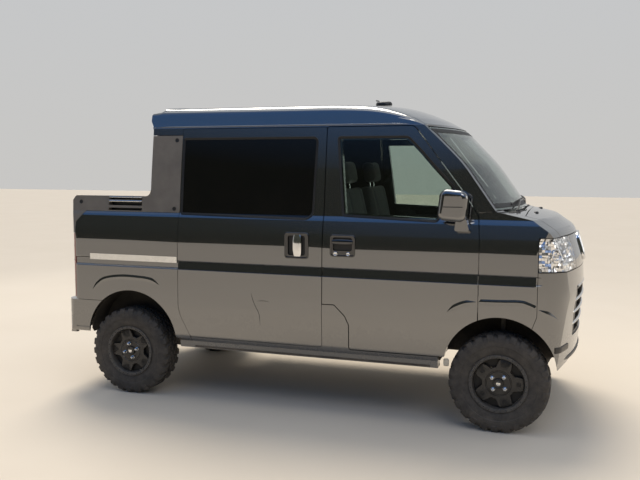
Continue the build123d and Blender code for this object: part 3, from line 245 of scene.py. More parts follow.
def dusty(graph, shader, colour, roughness, dust, dusty_roughness=0.85):
    """Mix dust over a colour and a roughness; dust holds the road dust group's values."""
    mask = use_group(graph, DUST, **dust).outputs["Mask"]
    spread = graph.math("ADD", graph.math("MULTIPLY", mask, dusty_roughness - roughness), roughness)
    graph.feed(shader, base_color=graph.blend(mask, colour, DUST_COLOUR), roughness=spread)
    return mask


def toned(colour, gain, lift=0):
    """A colour made lighter or darker."""
    return tuple(min(1.0, channel * gain + lift) for channel in colour[:3]) + (1,)


def paint_material():
    """Gloss black enamel under clear coat, with light dust and hairline scratches."""
    material, graph, shader = new_material(
        "body paint", coat_weight=1.0, coat_roughness=0.012, coat_ior=2.6, specular_ior_level=0.4
    )
    black, flake = (0.0035, 0.0035, 0.0035, 1), (0.009, 0.009, 0.009, 1)
    enamel = graph.mottle((2200.0, 2.0, 0.6), 0.45, 0.8, black, flake)
    mask = dusty(graph, shader, enamel, 0.25, {"amount": 0.3, "low": 0.3, "high": 0.85, "ledges": 0.02})
    graph.feed(shader, coat_weight=graph.math("SUBTRACT", 1.0, graph.math("MULTIPLY", mask, 0.8), True))
    scratches = use_group(graph, SCRATCHES, amount=0.25).outputs["Mask"]
    panel_wave = graph.noise(graph.place((1.0, 1.0, 1.6)), 2.6, 1.0, 0.4)
    height = graph.math("SUBTRACT", panel_wave, graph.math("MULTIPLY", scratches, 0.02))
    bump(graph, shader, height, 0.1, 0.004)
    return material


def plastic_material(name, colour, roughness, scale, depth, dust=None):
    """Moulded plastic with grain and a little colour change from sun and dust."""
    material, graph, shader = new_material(name, specular_ior_level=0.4)
    faded = graph.mottle((7.0, 5.0, 0.6), 0.35, 0.75, colour, toned(colour, 1.35, 0.004))
    dusty(graph, shader, faded, roughness, dust or {"amount": 0.35, "high": 1.2})
    grain = use_group(graph, GRAIN, scale=scale, depth=depth).outputs["Height"]
    bump(graph, shader, grain, 0.35, 0.0006)
    return material


def coated_material(name, colour, roughness, dust):
    """Satin coating on steel: slight mottling, wear and dust."""
    material, graph, shader = new_material(name, specular_ior_level=0.45)
    worn = graph.mottle((34.0, 6.0, 0.65), 0.4, 0.85, colour, toned(colour, 2.1, 0.006))
    dusty(graph, shader, worn, roughness, dust)
    bump(graph, shader, graph.noise(graph.place(), 420.0, 2.0), 0.12, 0.0005)
    return material


def metal_material(name, colour, roughness, brushed=0.0, dust=None):
    """Bare or plated metal with smudges, and brushing lines where it has them."""
    material, graph, shader = new_material(name, metallic=1.0)
    smudged = graph.mottle((24.0, 6.0, 0.7), 0.35, 0.8, colour, toned(colour, 0.82))
    dusty(graph, shader, smudged, roughness, dust or {"amount": 0.12, "high": 1.4})
    lines = graph.noise(graph.place((2.0, 2.0, 160.0)), 14.0, 2.0)
    bump(graph, shader, lines, 0.05 + brushed, 0.0003)
    return material


def glass_material(name, tint, roughness=0.0, dust=0.1):
    """Window glass: plain transmission with a tint and a breath of dust."""
    material, graph, shader = new_material(
        name, base_color=tint, transmission_weight=1.0, ior=1.45, metallic=0.0, coat_weight=0.0
    )
    mask = use_group(graph, DUST, amount=dust, low=0.9, high=1.9, ledges=0.1).outputs["Mask"]
    haze = graph.math("ADD", graph.math("MULTIPLY", mask, 0.25), roughness)
    graph.feed(shader, roughness=haze, base_color=graph.blend(mask, tint, DUST_COLOUR))
    return material


def privacy_glass_material():
    """Deep tinted glass: nearly black with a clear gloss."""
    material, graph, shader = new_material(
        "privacy glass", coat_weight=0.25, coat_roughness=0.0, specular_ior_level=0.5
    )
    dust = {"amount": 0.04, "low": 0.9, "high": 1.9, "ledges": 0.0}
    dusty(graph, shader, (0.0018, 0.002, 0.0022, 1), 0.02, dust, 0.4)
    bump(graph, shader, graph.noise(graph.place(), 3.0, 1.0), 0.04, 0.002)
    return material


def tyre_material():
    """Dusty tyre rubber: dark tread, brown dust thick low down."""
    material, graph, shader = new_material("tyre rubber", specular_ior_level=0.35)
    rubber = graph.mottle((22.0, 8.0, 0.7), 0.38, 0.7, (0.027, 0.0255, 0.024, 1), (0.07, 0.062, 0.053, 1))
    dusty(graph, shader, rubber, 0.66, {"amount": 0.4, "low": -0.3, "high": 1.6, "ledges": 0.12})
    bump(graph, shader, graph.noise(graph.place(), 260.0, 4.0, 0.6), 0.35, 0.0008)
    return material


def cloth_material(name, colour, fleck_colour):
    """Woven seat cloth with fleck and soft sheen."""
    material, graph, shader = new_material(name, roughness=0.9, sheen_weight=0.35, sheen_roughness=0.4)
    weave = use_group(graph, CLOTH, threads=900.0)
    fleck = graph.ramp(weave.outputs["Fleck"], (0.4, 0.0), (0.62, 1.0))
    graph.feed(shader, base_color=graph.blend(fleck, colour, fleck_colour))
    bump(graph, shader, weave.outputs["Height"], 0.5, 0.0006)
    return material


def lamp_red_material():
    """Red lamp moulding with an inner ribbed look."""
    material, graph, shader = new_material(
        "lamp red", transmission_weight=0.35, ior=1.49, coat_weight=0.5, coat_roughness=0.02
    )
    ribs = graph.add("ShaderNodeTexWave", {"bands_direction": "Z"}, vector=graph.place(), scale=38.0)
    dusty(graph, shader, (0.3, 0.006, 0.006, 1), 0.12, {"amount": 0.2, "high": 1.4})
    bump(graph, shader, ribs.outputs["Fac"], 0.3, 0.001)
    return material


CHASSIS_DUST = {"amount": 1.0, "low": 0.0, "high": 1.0, "ledges": 0.6}
MATERIALS = {
    "body_paint": paint_material(),
    "structure": coated_material("hidden structure", (0.012, 0.012, 0.013, 1), 0.5, CHASSIS_DUST),
    "matte_trim": plastic_material("matte guard", (0.13, 0.117, 0.1, 1), 0.55, 700.0, 0.6),
    "glass_clear": glass_material("window glass", (0.6, 0.68, 0.63, 1)),
    "glass_dark": privacy_glass_material(),
    "chrome_trim": metal_material("bright plating", (0.8, 0.8, 0.8, 1), 0.08),
    "lamp_clear": glass_material("lamp lens", (0.96, 0.97, 0.97, 1), 0.0, 0.06),
    "lamp_red": lamp_red_material(),
    "rail_silver": metal_material("silver strip", (0.86, 0.86, 0.85, 1), 0.18, 0.03),
    "grille_black": plastic_material("black grille", (0.012, 0.012, 0.012, 1), 0.35, 1200.0, 0.2),
    "housing_black": plastic_material(
        "arch liner", (0.014, 0.013, 0.012, 1), 0.8, 300.0, 0.8, CHASSIS_DUST
    ),
    "bed_lining": coated_material(
        "bed lining", (0.02, 0.02, 0.02, 1), 0.6, {"amount": 0.8, "low": 0.0, "high": 1.3, "ledges": 0.7}
    ),
    "interior_trim": plastic_material(
        "cabin trim", (0.07, 0.068, 0.065, 1), 0.6, 900.0, 0.5, {"amount": 0.1, "high": 1.0}
    ),
    "seat_cloth": cloth_material("seat cloth", (0.1, 0.098, 0.095, 1), (0.18, 0.176, 0.17, 1)),
    "chassis_black": coated_material("chassis coating", (0.016, 0.016, 0.016, 1), 0.55, CHASSIS_DUST),
    "cast_metal": coated_material("cast metal", (0.1, 0.095, 0.088, 1), 0.65, CHASSIS_DUST),
    "pipe_steel": metal_material("pipe steel", (0.42, 0.38, 0.33, 1), 0.42, 0.1, CHASSIS_DUST),
    "cooler": metal_material("cooler fins", (0.3, 0.3, 0.3, 1), 0.45, 0.3),
    "wheel_black": coated_material(
        "wheel coating", (0.045, 0.042, 0.038, 1), 0.4,
        {"amount": 0.25, "low": -0.2, "high": 1.2, "ledges": 0.2},
    ),
    "tyre": tyre_material(),
}
CLEAN = {"amount": 0.06, "high": 1.2}
RUBBER = plastic_material("seal rubber", (0.006, 0.006, 0.006, 1), 0.5, 600.0, 0.2, CLEAN)
GLOSS_BLACK = coated_material("gloss black", (0.02, 0.018, 0.0155, 1), 0.24, CLEAN)
MIRROR_GLASS = metal_material("mirror glass", (0.9, 0.9, 0.9, 1), 0.01)
REFLECTOR = metal_material("lamp reflector", (0.9, 0.9, 0.9, 1), 0.12)
PALE_RUBBER = plastic_material("pale pad", (0.66, 0.6, 0.47, 1), 0.7, 500.0, 0.5)
SMOKED = metal_material("smoked plating", (0.1, 0.1, 0.102, 1), 0.12)
LENS = glass_material("clear moulding", (1.0, 1.0, 1.0, 1), 0.0, 0.03)

node_slots = {part["node"]: part["material_slot"] for part in frame["record"]["subparts"]}
for node_name, node_object in frame["nodes"].items():
    node_object.data.materials.clear()
    node_object.data.materials.append(MATERIALS[node_slots[node_name]])

for node_name in ("handle_right", "handle_left", "sliding_handles"):
    frame["nodes"][node_name].data.materials[0] = SMOKED


# Mesh making


def make_piece(name, body, finish, points, faces, smooth=30, stands_for=()):
    """Mesh piece from millimetre points; finish is a slot's name, or a material and its slot."""
    material, slot = (MATERIALS[finish], finish) if isinstance(finish, str) else finish
    mesh = bpy.data.meshes.new(name)
    mesh.from_pydata([tuple(c * MM for c in point) for point in points], [], faces)
    mesh.validate()
    mesh.materials.append(material)
    mesh.shade_smooth()
    mesh.set_sharp_from_angle(angle=radians(smooth))
    piece = bpy.data.objects.new(name, mesh)
    bpy.context.scene.collection.objects.link(piece)
    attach(piece, body)
    if stands_for:
        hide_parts(*stands_for)
    return piece


class Mesh:
    """Points and faces collected for one piece."""

    def __init__(self):
        self.points = []
        self.faces = []

    def rings(self, rings, closed=True, capped=True):
        """Skin over rings of points; a closed ring joins its last point to its first."""
        start = len(self.points)
        count = len(rings[0])
        for ring in rings:
            self.points += [tuple(point) for point in ring]
        last = count if closed else count - 1
        for row in range(len(rings) - 1):
            for column in range(last):
                a = start + row * count + column
                b = start + row * count + (column + 1) % count
                self.faces.append((a, b, b + count, a + count))
        if capped:
            self.faces.append(tuple(start + i for i in reversed(range(count))))
            end = start + (len(rings) - 1) * count
            self.faces.append(tuple(end + i for i in range(count)))

    def spun(self, profile, centre, axis, out, steps):
        """Profile of (radius, along) turned about an axis; a full turn closes on itself."""
        along = Vector(axis).normalized()
        first = Vector(out).normalized()
        second = along.cross(first)
        ways = [first * cos(turn) + second * sin(turn) for turn in turns(steps)]
        rings = [[Vector(centre) + way * radius + along * reach for way in ways] for radius, reach in profile]
        self.rings(rings, True, False)

    def tube(self, path, radius, steps):
        """Round tube along a path of points."""
        points = [Vector(point) for point in path]
        rings = []
        side = None
        for index, point in enumerate(points):
            before = points[max(index - 1, 0)]
            after = points[min(index + 1, len(points) - 1)]
            ahead = (after - before).normalized()
            if side is None:
                side = ahead.orthogonal().normalized()
            side = (side - ahead * side.dot(ahead)).normalized()
            up = ahead.cross(side)
            rings.append([
                point + side * radius * cos(turn) + up * radius * sin(turn) for turn in turns(steps)
            ])
        self.rings(rings)

    def block(self, low, high):
        """Plain box as part of a larger piece."""
        (x0, y0, z0), (x1, y1, z1) = low, high
        self.rings([
            [(x0, y0, z0), (x1, y0, z0), (x1, y1, z0), (x0, y1, z0)],
            [(x0, y0, z1), (x1, y0, z1), (x1, y1, z1), (x0, y1, z1)],
        ])

    def grid(self, rows, flip=False):
        """Skin over a grid of points; gives the first point's number."""
        start = len(self.points)
        wide = len(rows[0])
        for row in rows:
            self.points += [tuple(point) for point in row]
        for r in range(len(rows) - 1):
            for c in range(wide - 1):
                a = start + r * wide + c
                face = (a, a + 1, a + wide + 1, a + wide)
                self.faces.append(tuple(reversed(face)) if flip else face)
        return start

    def wall(self, outer, inner, rows, wide):
        """Wall between the borders of two grids that share their layout."""
        border = list(range(wide))
        border += [r * wide + wide - 1 for r in range(1, rows)]
        border += [(rows - 1) * wide + c for c in range(wide - 2, -1, -1)]
        border += [r * wide for r in range(rows - 2, 0, -1)]
        for index, a in enumerate(border):
            b = border[(index + 1) % len(border)]
            self.faces.append((outer + a, inner + a, inner + b, outer + b))

    def mirrored(self):
        """The same mesh on the truck's other side."""
        other = Mesh()
        other.points = [(x, -y, z) for x, y, z in self.points]
        other.faces = [tuple(reversed(face)) for face in self.faces]
        return other

    def add(self, other):
        """Take in another mesh."""
        start = len(self.points)
        self.points += other.points
        self.faces += [tuple(index + start for index in face) for face in other.faces]

    def piece(self, name, body, finish, smooth=30, stands_for=()):
        """Finish as an object."""
        return make_piece(name, body, finish, self.points, self.faces, smooth, stands_for)


def skin(rings, closed=True, capped=True):
    """Mesh over rings of points."""
    mesh = Mesh()
    mesh.rings(rings, closed, capped)
    return mesh


def turns(count):
    """Angles of equal steps round a full turn."""
    return [2 * pi * step / count for step in range(count)]


def soften(piece, width, segments, angle=40):
    """Bevel a piece's sharp edges; width in millimetres."""
    bevel = piece.modifiers.new("soft edges", "BEVEL")
    bevel.width = width * MM
    bevel.segments = segments
    bevel.limit_method = "ANGLE"
    bevel.angle_limit = radians(angle)
    bevel.harden_normals = True
    return piece


def fine(piece):
    """Round a cage off by one subdivision."""
    rounding = piece.modifiers.new("rounding", "SUBSURF")
    rounding.levels = 1
    rounding.render_levels = 1


def search_tree(*nodes):
    """Search tree over CAD nodes, in millimetres."""
    points, faces = [], []
    for node in nodes:
        mesh = frame["nodes"][node].data
        start = len(points)
        points += [vertex.co / MM for vertex in mesh.vertices]
        faces += [tuple(index + start for index in polygon.vertices) for polygon in mesh.polygons]
    return BVHTree.FromPolygons(points, faces)


FAR = 4000


def rounded(outline, steps=6):
    """Points along a closed outline of (across, up, corner radius), corners as arcs."""
    points = []
    count = len(outline)
    for index, (x, z, radius) in enumerate(outline):
        here = Vector((x, z))
        before = Vector(outline[index - 1][:2])
        after = Vector(outline[(index + 1) % count][:2])
        if radius <= 0:
            points.append(tuple(here))
            continue
        back = (before - here).normalized()
        ahead = (after - here).normalized()
        half = back.angle(ahead) / 2
        reach = radius / max(0.2, abs(sin(half) / cos(half)))
        centre = here + (back + ahead).normalized() * (radius / sin(half))
        start = here + back * reach
        end = here + ahead * reach
        first = atan2(start.y - centre.y, start.x - centre.x)
        last = atan2(end.y - centre.y, end.x - centre.x)
        sweep = (last - first + pi) % (2 * pi) - pi
        for step in range(steps + 1):
            turn = first + sweep * step / steps
            points.append((centre.x + radius * cos(turn), centre.y + radius * sin(turn)))
    return points


def grown(points, grow):
    """Closed outline of (across, up) moved outwards."""
    count = len(points)
    area = sum(points[i - 1][0] * points[i][1] - points[i][0] * points[i - 1][1] for i in range(count))
    sign = 1 if area > 0 else -1
    moved = []
    for i, (x, z) in enumerate(points):
        ahead = Vector(points[(i + 1) % count]) - Vector(points[i - 1])
        if ahead.length < 1e-6:
            moved.append((x, z))
            continue
        ahead.normalize()
        moved.append((x + ahead.y * grow * sign, z - ahead.x * grow * sign))
    return moved


# Wheels: tyres with tread, dished rims, nuts, caps and lip bolts

tyre_low, tyre_high = node_box("tyre_front_right")
rim_low, rim_high = node_box("rim_front_right")
TYRE_RADIUS = tyre_high.z - node_middle("tyre_front_right").z
TYRE_HALF_WIDTH = (tyre_high.y - tyre_low.y) / 2 - 1
RIM_RADIUS = (rim_high.z - rim_low.z) / 2
TREAD_DEPTH = 11.0
PITCHES = 26
LUG_SHARE = 0.62


def carcass_profile():
    """Half of the tyre's section from the middle of the tread to the bead: across, radius."""
    base = TYRE_RADIUS - TREAD_DEPTH
    half = TYRE_HALF_WIDTH
    return (
        (0.0, base), (half * 0.5, base), (half * 0.8, base - 2), (half * 0.9, base - 9),
        (half * 0.965, base - 24), (half * 0.99, base - 44), (half * 0.985, base - 60),
        (half * 0.96, base - 62), (half * 0.955, base - 72), (half * 0.93, base - 92),
        (half * 0.875, RIM_RADIUS + 9), (half * 0.86, RIM_RADIUS + 3), (half * 0.83, RIM_RADIUS + 0.6),
    )


def lug(mesh, middle, start, end, rows):
    """Block of rubber between two turns; rows hold across, inner radius, radius, outward, skew."""
    rings = []
    for across, inner, radius, outward, skew in rows:
        ring = []
        for turn, reach, lean in ((start, inner, 0.012), (start, radius, 0), (end, radius, 0),
                                  (end, inner, -0.012)):
            turned = turn + skew - lean
            out = across + (outward if reach == radius else 0)
            ring.append((middle.x + reach * cos(turned), middle.y + out, middle.z + reach * sin(turned)))
        rings.append(ring)
    mesh.rings(rings)


def make_tyre(place):
    """Tyre with shoulder lugs and two rows of centre blocks."""
    middle = node_middle(f"tyre_{place}")
    mesh = Mesh()
    half = carcass_profile()
    profile = [(r, -w) for w, r in reversed(half)] + [(r, w) for w, r in half[1:]]
    profile += [(RIM_RADIUS - 8, TYRE_HALF_WIDTH * 0.8), (RIM_RADIUS - 8, -TYRE_HALF_WIDTH * 0.8), profile[0]]
    mesh.spun(profile, middle, (0, 1, 0), (1, 0, 0), 104)
    top = TYRE_RADIUS - 0.4
    base = TYRE_RADIUS - TREAD_DEPTH - 2
    w = TYRE_HALF_WIDTH
    pitch = 2 * pi / PITCHES
    for index in range(PITCHES):
        turn = index * pitch
        for hand in (-1, 1):
            offset = 0.5 * pitch if hand > 0 else 0
            long_lug = index % 2 == 0
            foot = TYRE_RADIUS - (58 if long_lug else 44)
            share = LUG_SHARE * (1.0 if long_lug else 0.86)
            rows = [
                (hand * w * 0.48, base, top, 0, 0.30 * pitch),
                (hand * w * 0.66, base, top, 0, 0.12 * pitch),
                (hand * w * 0.84, base - 2, top - 3, 0, 0.0),
                (hand * w * 0.90, base - 12, top - 16, hand * 5, 0.0),
                (hand * w * 0.955, foot, foot + 4, hand * 3.5, 0.0),
            ]
            if hand < 0:
                rows.reverse()
            lug(mesh, middle, turn + offset, turn + offset + share * pitch, rows)
            for inner, outer, shift, share in ((0.05, 0.22, 0.1, 0.42), (0.24, 0.42, 0.52, 0.4)):
                block = [
                    (hand * w * inner, base, top, 0, shift * pitch),
                    (hand * w * outer, base, top, 0, (shift + 0.16) * pitch),
                ]
                if hand < 0:
                    block.reverse()
                lug(mesh, middle, turn + offset, turn + offset + share * pitch, block)
    tyre = mesh.piece(f"treaded_tyre_{place}", f"wheel_{place}", "tyre", 35,
                      (f"tyre_{place}",))
    return soften(tyre, 1.4, 1, 42)


DISC_STEPS = 300
DISC_FACE = 66.5
ARMS = 5
ARM_START = radians(1)
REAR_TURN = radians(35)
HUB_REACH = 97
ARM_REACH = 147.5
RIM_PROFILE = (
    (170, 80), (171, 85), (169, 88), (158, 88), (152.5, 87), (150, 84), (148, 76), (147, 66), (147, -62),
    (150, -78), (166, -84), (169, -82), (169, -78), (158, -70), (152, -50), (152, 60), (160, 72), (166, 78),
    (170, 80),
)
DISC_RINGS = (
    # radius, share of the arms' reach, height along the axle
    (26, 0, 57), (26, 0, 66.5), (66, 0, 66.5), (69, 0, 63), (74, 0, 63), (77, 0, 66.5), (0, 0.965, 66.5),
    (0, 1.0, 63), (0, 1.0, 54), (26, 0, 54), (26, 0, 57),
)
HOLE_SHADE_PROFILE = ((13.5, -2), (13.5, 1.4), (11.5, 1.4), (11, 0.3), (0.3, 0.3))
SHADE_PROFILE = ((96, 41), (146, 41), (146, 37), (96, 37), (96, 41))
NUT_PROFILE = ((12.5, 0), (12.5, 2), (9.5, 3.5), (9.5, 14), (8, 17), (4, 19), (0.3, 19.4))
NUT_DOME = ((9.2, 13), (8.6, 17.5), (5.5, 20), (0.3, 21))
CAP_PROFILE = ((31, -3), (31, 6), (28, 11), (25, 12), (22, 10.5), (12, 11.5), (0.3, 12))
CAP_DOME = ((13, 10), (12.5, 12.5), (9, 13.6), (0.3, 14))
BOLT_PROFILE = ((3.8, -2), (3.8, 1.6), (2.4, 2.8), (0.2, 3))
LIP_FACE = 88
NUT_START = {"front": radians(51), "rear": radians(16)}
WHEEL_PARTS = (
    # piece, finish, smoothing angle, circle, count, turned forms as (along the axle, steps, profile)
    # hole_shades: near-black discs on the arms, painted shade where holes through the disc would show the
    # dark inside
    ("hole_shades", (RUBBER, "wheel_black"), 40, 115, ARMS, ((DISC_FACE, 24, HOLE_SHADE_PROFILE),)),
    ("rim_shade", (RUBBER, "wheel_black"), 30, 0, 1, ((0, 60, SHADE_PROFILE),)),
    ("wheel_nuts", "chrome_trim", 38, 48, 4, ((DISC_FACE, 6, NUT_PROFILE), (DISC_FACE, 20, NUT_DOME))),
    ("cap_ring", (GLOSS_BLACK, "wheel_black"), 40, 0, 1, ((DISC_FACE, 40, CAP_PROFILE),)),
    ("cap_dome", "chrome_trim", 40, 0, 1, ((DISC_FACE, 40, CAP_DOME),)),
    ("lip_bolts", (SMOKED, "wheel_black"), 40, 161, 30, ((LIP_FACE, 8, BOLT_PROFILE),)),
)


def arm_reach(turn):
    """Radius of the disc's edge: long at the arms, short at the windows between them."""
    gap = 2 * pi / ARMS
    off = abs((turn + gap / 2) % gap - gap / 2)
    share = max(0.0, min(1.0, (0.5 - off) / 0.3))
    return HUB_REACH + (ARM_REACH - HUB_REACH) * share * share * (3 - 2 * share)


def make_rim(place, axle, side):
    """Dished rim with a five-armed disc, its bright nuts, cap, and small bolts on the lip."""
    middle = node_middle(f"tyre_{place}")
    body = f"wheel_{place}"
    arms = ARM_START + (REAR_TURN if axle == "rear" else 0)
    starts = {"hole_shades": arms, "wheel_nuts": NUT_START[axle]}

    def at(reach, turn, along):
        return (middle.x + reach * cos(turn), middle.y + side * along, middle.z + reach * sin(turn))

    barrel = Mesh()
    barrel.spun(RIM_PROFILE, middle, (0, side, 0), (1, 0, 0), 96)
    barrel.piece(f"rim_barrel_{place}", body, "wheel_black", 35, (f"rim_{place}",))
    disc = skin([
        [at(radius or arm_reach(turn - arms) * share, turn, along) for turn in turns(DISC_STEPS)]
        for radius, share, along in DISC_RINGS
    ], True, False)
    disc.piece(f"rim_disc_{place}", body, (GLOSS_BLACK, "wheel_black"), 35, (f"rim_{place}",))
    for name, finish, smooth, circle, count, forms in WHEEL_PARTS:
        mesh = Mesh()
        for turn in turns(count):
            for along, steps, profile in forms:
                centre = at(circle, starts.get(name, 0) + turn, along)
                mesh.spun(profile, centre, (0, side, 0), (1, 0, 0), steps)
        mesh.piece(f"{name}_{place}", body, finish, smooth)


for wheel_place, axle, wheel_side in WHEELS:
    make_tyre(wheel_place)
    make_rim(wheel_place, axle, wheel_side)


# Places on the body, with stations measured ahead of the front axle as in the part's source

AXLE = 1237.5
RIGHT, AHEAD, DOWN, BACK = Vector((0, 1, 0)), Vector((-1, 0, 0)), Vector((0, 0, -1)), Vector((1, 0, 0))


def landed(tree, start, way, proud=0.0):
    """Point where a ray lands, moved out along the surface's normal."""
    hit, normal = tree.ray_cast(Vector(start), way)[:2]
    if hit is None:
        return None
    if normal.dot(way) > 0:
        normal = -normal
    return hit + normal * proud


def side_land(*nodes):
    """Lays (x, z) on the right-hand side."""
    tree = search_tree(*nodes)
    return lambda x, z, proud: landed(tree, (x, -FAR, z), RIGHT, proud)


def front_land(*nodes):
    """Lays (y, z) on the front."""
    tree = search_tree(*nodes)
    return lambda y, z, proud: landed(tree, (FAR, y, z), AHEAD, proud)


def rear_land(*nodes):
    """Lays (y, z) on the rear."""
    tree = search_tree(*nodes)
    return lambda y, z, proud: landed(tree, (-FAR, y, z), BACK, proud)


def top_land(*nodes):
    """Lays (x, y) on the top."""
    tree = search_tree(*nodes)
    return lambda x, y, proud: landed(tree, (x, y, FAR), DOWN, proud)


def inner_land(*nodes):
    """Lays (x, z) on the inner face of the right-hand side."""
    tree = search_tree(*nodes)
    return lambda x, z, proud: landed(tree, (x, 0, z), -RIGHT, proud)


CORNER_AXIS = Vector((AXLE + 150, -350, 0))


def corner_land(*nodes):
    """Lays (turn, z) round the right-hand nose corner; the turn runs from the side to the front."""
    tree = search_tree(*nodes)

    def land(turn, z, proud):
        out = Vector((sin(turn), -cos(turn), 0))
        return landed(tree, CORNER_AXIS + Vector((0, 0, z)) + out * FAR, -out, proud)

    return land


def placed(outline):
    """Outline of (station, height, radius) moved into the frame."""
    return [(AXLE + x, z, radius) for x, z, radius in outline]


def dense(points, step=30, closed=True):
    """Path of (a, b) with extra points on long runs."""
    filled = []
    count = len(points)
    for index in range(count if closed else count - 1):
        first = Vector(points[index])
        second = Vector(points[(index + 1) % count])
        parts = max(1, round((second - first).length / step))
        filled += [tuple(first.lerp(second, part / parts)) for part in range(parts)]
    if not closed:
        filled.append(tuple(points[-1]))
    return filled


def smooth_path(points, steps):
    """Catmull-Rom curve through points of (a, b)."""
    path = []
    for index in range(len(points) - 1):
        p0 = Vector(points[max(index - 1, 0)])
        p1 = Vector(points[index])
        p2 = Vector(points[index + 1])
        p3 = Vector(points[min(index + 2, len(points) - 1)])
        for step in range(steps):
            t = step / steps
            path.append(tuple(
                0.5 * ((2 * p1) + (p2 - p0) * t + (2 * p0 - 5 * p1 + 4 * p2 - p3) * t * t
                       + (3 * p1 - p0 - 3 * p2 + p3) * t * t * t)
            ))
    path.append(tuple(points[-1]))
    return path


def landed_ring(land, points, lift):
    """Ring laid point by point; a point that finds nothing stays at the one before."""
    ring = []
    for a, b in points:
        point = land(a, b, lift)
        ring.append(point if point is not None else ring[-1].copy())
    return ring


def laid_band(land, outline, section):
    """Closed band along an outline; the section is a closed loop of (offset, lift)."""
    rings = [landed_ring(land, grown(outline, grow), lift) for grow, lift in section]
    return skin(rings + [rings[0]], True, False)


def bead(half, shoulder, crest):
    """Section of a small rounded rib."""
    return ((-half, -1), (-half, shoulder), (0, crest), (half, shoulder), (half, -1))


def laid_strip(land, path, section, taper=0):
    """Strip along an open path; the section is a closed loop of (offset, lift)."""
    rings = []
    count = len(path)
    for index, (a, b) in enumerate(path):
        along = Vector(path[min(index + 1, count - 1)]) - Vector(path[max(index - 1, 0)])
        along.normalize()
        share = 1.0
        if taper:
            share = min(1.0, (index + 0.15) / taper, (count - 1 - index + 0.15) / taper)
        ring = []
        for offset, lift in section:
            reach = lift * share if lift > 0 else lift
            point = land(a - along.y * offset * share, b + along.x * offset * share, reach)
            if point is None:
                break
            ring.append(point)
        if len(ring) == len(section):
            rings.append(ring)
    return skin(rings)


def both(mesh, name, bodies, finish, smooth=30):
    """The same piece on each side; bodies names one body for all, or one for each side."""
    pieces = []
    for (side, sign), body in zip(SIDES, (bodies, bodies) if isinstance(bodies, str) else bodies):
        made = mesh if sign < 0 else mesh.mirrored()
        pieces.append(made.piece(f"{name}_{side}", body, finish, smooth))
    return pieces


DOORS = ("door_right", "door_left")
DOOR_WINDOW = placed((
    (-996, 1722, 14), (-947, 1244, 16), (-372, 1222, 22), (-276, 1424, 14), (-405, 1560, 500),
    (-474, 1636, 200), (-560, 1722, 50),
))
SLIDING_WINDOW = placed((
    (-2050, 1722, 12), (-2050, 1232, 12), (-1138, 1216, 60), (-1126, 1722, 30),
))
SEAL = ((-10, -1), (-10, 1.4), (-6, 2.6), (3, 3.0), (5, 1.6), (5, -1))


def make_window_seals():
    """Rubber seals round the side glass, and the rear and front windows."""
    for name, outline, nodes, bodies in (
        ("door_window_seal", DOOR_WINDOW, ("door_right", "door_glass_right"), DOORS),
        ("sliding_window_seal", SLIDING_WINDOW, ("sliding_door_right", "sliding_glass"), "body"),
    ):
        seal = laid_band(side_land(*nodes), dense(rounded(outline)), SEAL)
        both(seal, name, bodies, (RUBBER, "grille_black"), 50)
    rear = [(-560, 1330, 45), (560, 1330, 45), (530, 1700, 45), (-530, 1700, 45)]
    seal = laid_band(rear_land("cab_rear_wall", "rear_window"), dense(rounded(rear)), SEAL)
    seal.piece("rear_window_seal", "body", (RUBBER, "grille_black"), 50)
    land = front_land("windshield")
    around = front_land("windshield", "roof", "fenders", "cowl", "body_side_right", "body_side_left")
    low, high = node_box("windshield")
    sides = []
    for share in (0.03, 0.2, 0.4, 0.6, 0.8, 0.97):
        z = low.z + (high.z - low.z) * share
        inside, outside = 300.0, 760.0
        while outside - inside > 0.5:
            half = (inside + outside) / 2
            if land(half, z, 0) is None:
                outside = half
            else:
                inside = half
        sides.append((inside, z))
    outline = [(-y, z) for y, z in sides] + [(y, z) for y, z in reversed(sides)]
    frame_band = ((-22, 0.4), (-20, 1.2), (2, 2.2), (2, -1), (-22, -1))
    seal = laid_band(around, dense(outline, 25), frame_band)
    seal.piece("windshield_seal", "body", (RUBBER, "grille_black"), 50)


DRIP_HEIGHT = 1797


def make_drip_rails():
    """Thin drip moulding in body paint under the roof's edge."""
    nodes = ("roof", "body_side_right", "door_right", "sliding_door_right", "bed_guards")
    land = side_land(*nodes)
    ends = [(AXLE - 2262, DRIP_HEIGHT), (AXLE - 700, DRIP_HEIGHT), (AXLE - 560, DRIP_HEIGHT - 1)]
    path = dense(ends, 40, False)
    section = ((-4, -1), (-4, 2), (-1, 4.2), (3, 3.4), (5, 1), (5, -1))
    both(laid_strip(land, path, section, 2), "drip_rail", "body", "body_paint", 50)


PRESS_LINE = (
    (-17, -1), (-17, 0.25), (-11, 1.5), (-5, 3.0), (0, 3.7), (5, 3.0), (11, 1.5), (17, 0.25), (17, -1),
)
ARCH_LINES = (
    ("front_arch_line", ("fenders", "front_bumper", "door_right"), (
        ("fender", "body", ((-118, 769), (0, 772), (112, 776), (160, 764), (198, 748))),
        ("bumper", "body", ((212, 742), (262, 716), (318, 684))),
        ("door", "door", ((-300, 700), (-250, 734), (-196, 757), (-132, 768))),
    )),
    ("rear_arch_line", ("quarter_panels",), (
        ("quarter", "body", ((-2722, 690), (-2668, 748), (-2610, 782), (-2498, 800), (-2380, 800),
                             (-2268, 790), (-2200, 758))),
    )),
)


def make_arch_lines():
    """Soft pressed ridges over the wheel arches, split at the panel gaps."""
    for name, nodes, parts in ARCH_LINES:
        land = side_land(*nodes)
        for part, body, points in parts:
            bodies = DOORS if body == "door" else "body"
            path = smooth_path([(AXLE + x, z) for x, z in points], 7)
            strip = laid_strip(land, path, PRESS_LINE, 6 if part in ("quarter", "bumper", "door") else 1)
            both(strip, f"{name}_{part}", bodies, "body_paint", 60)


SILL_FLANGE = 361
SILL_PAD = (-306, -688)


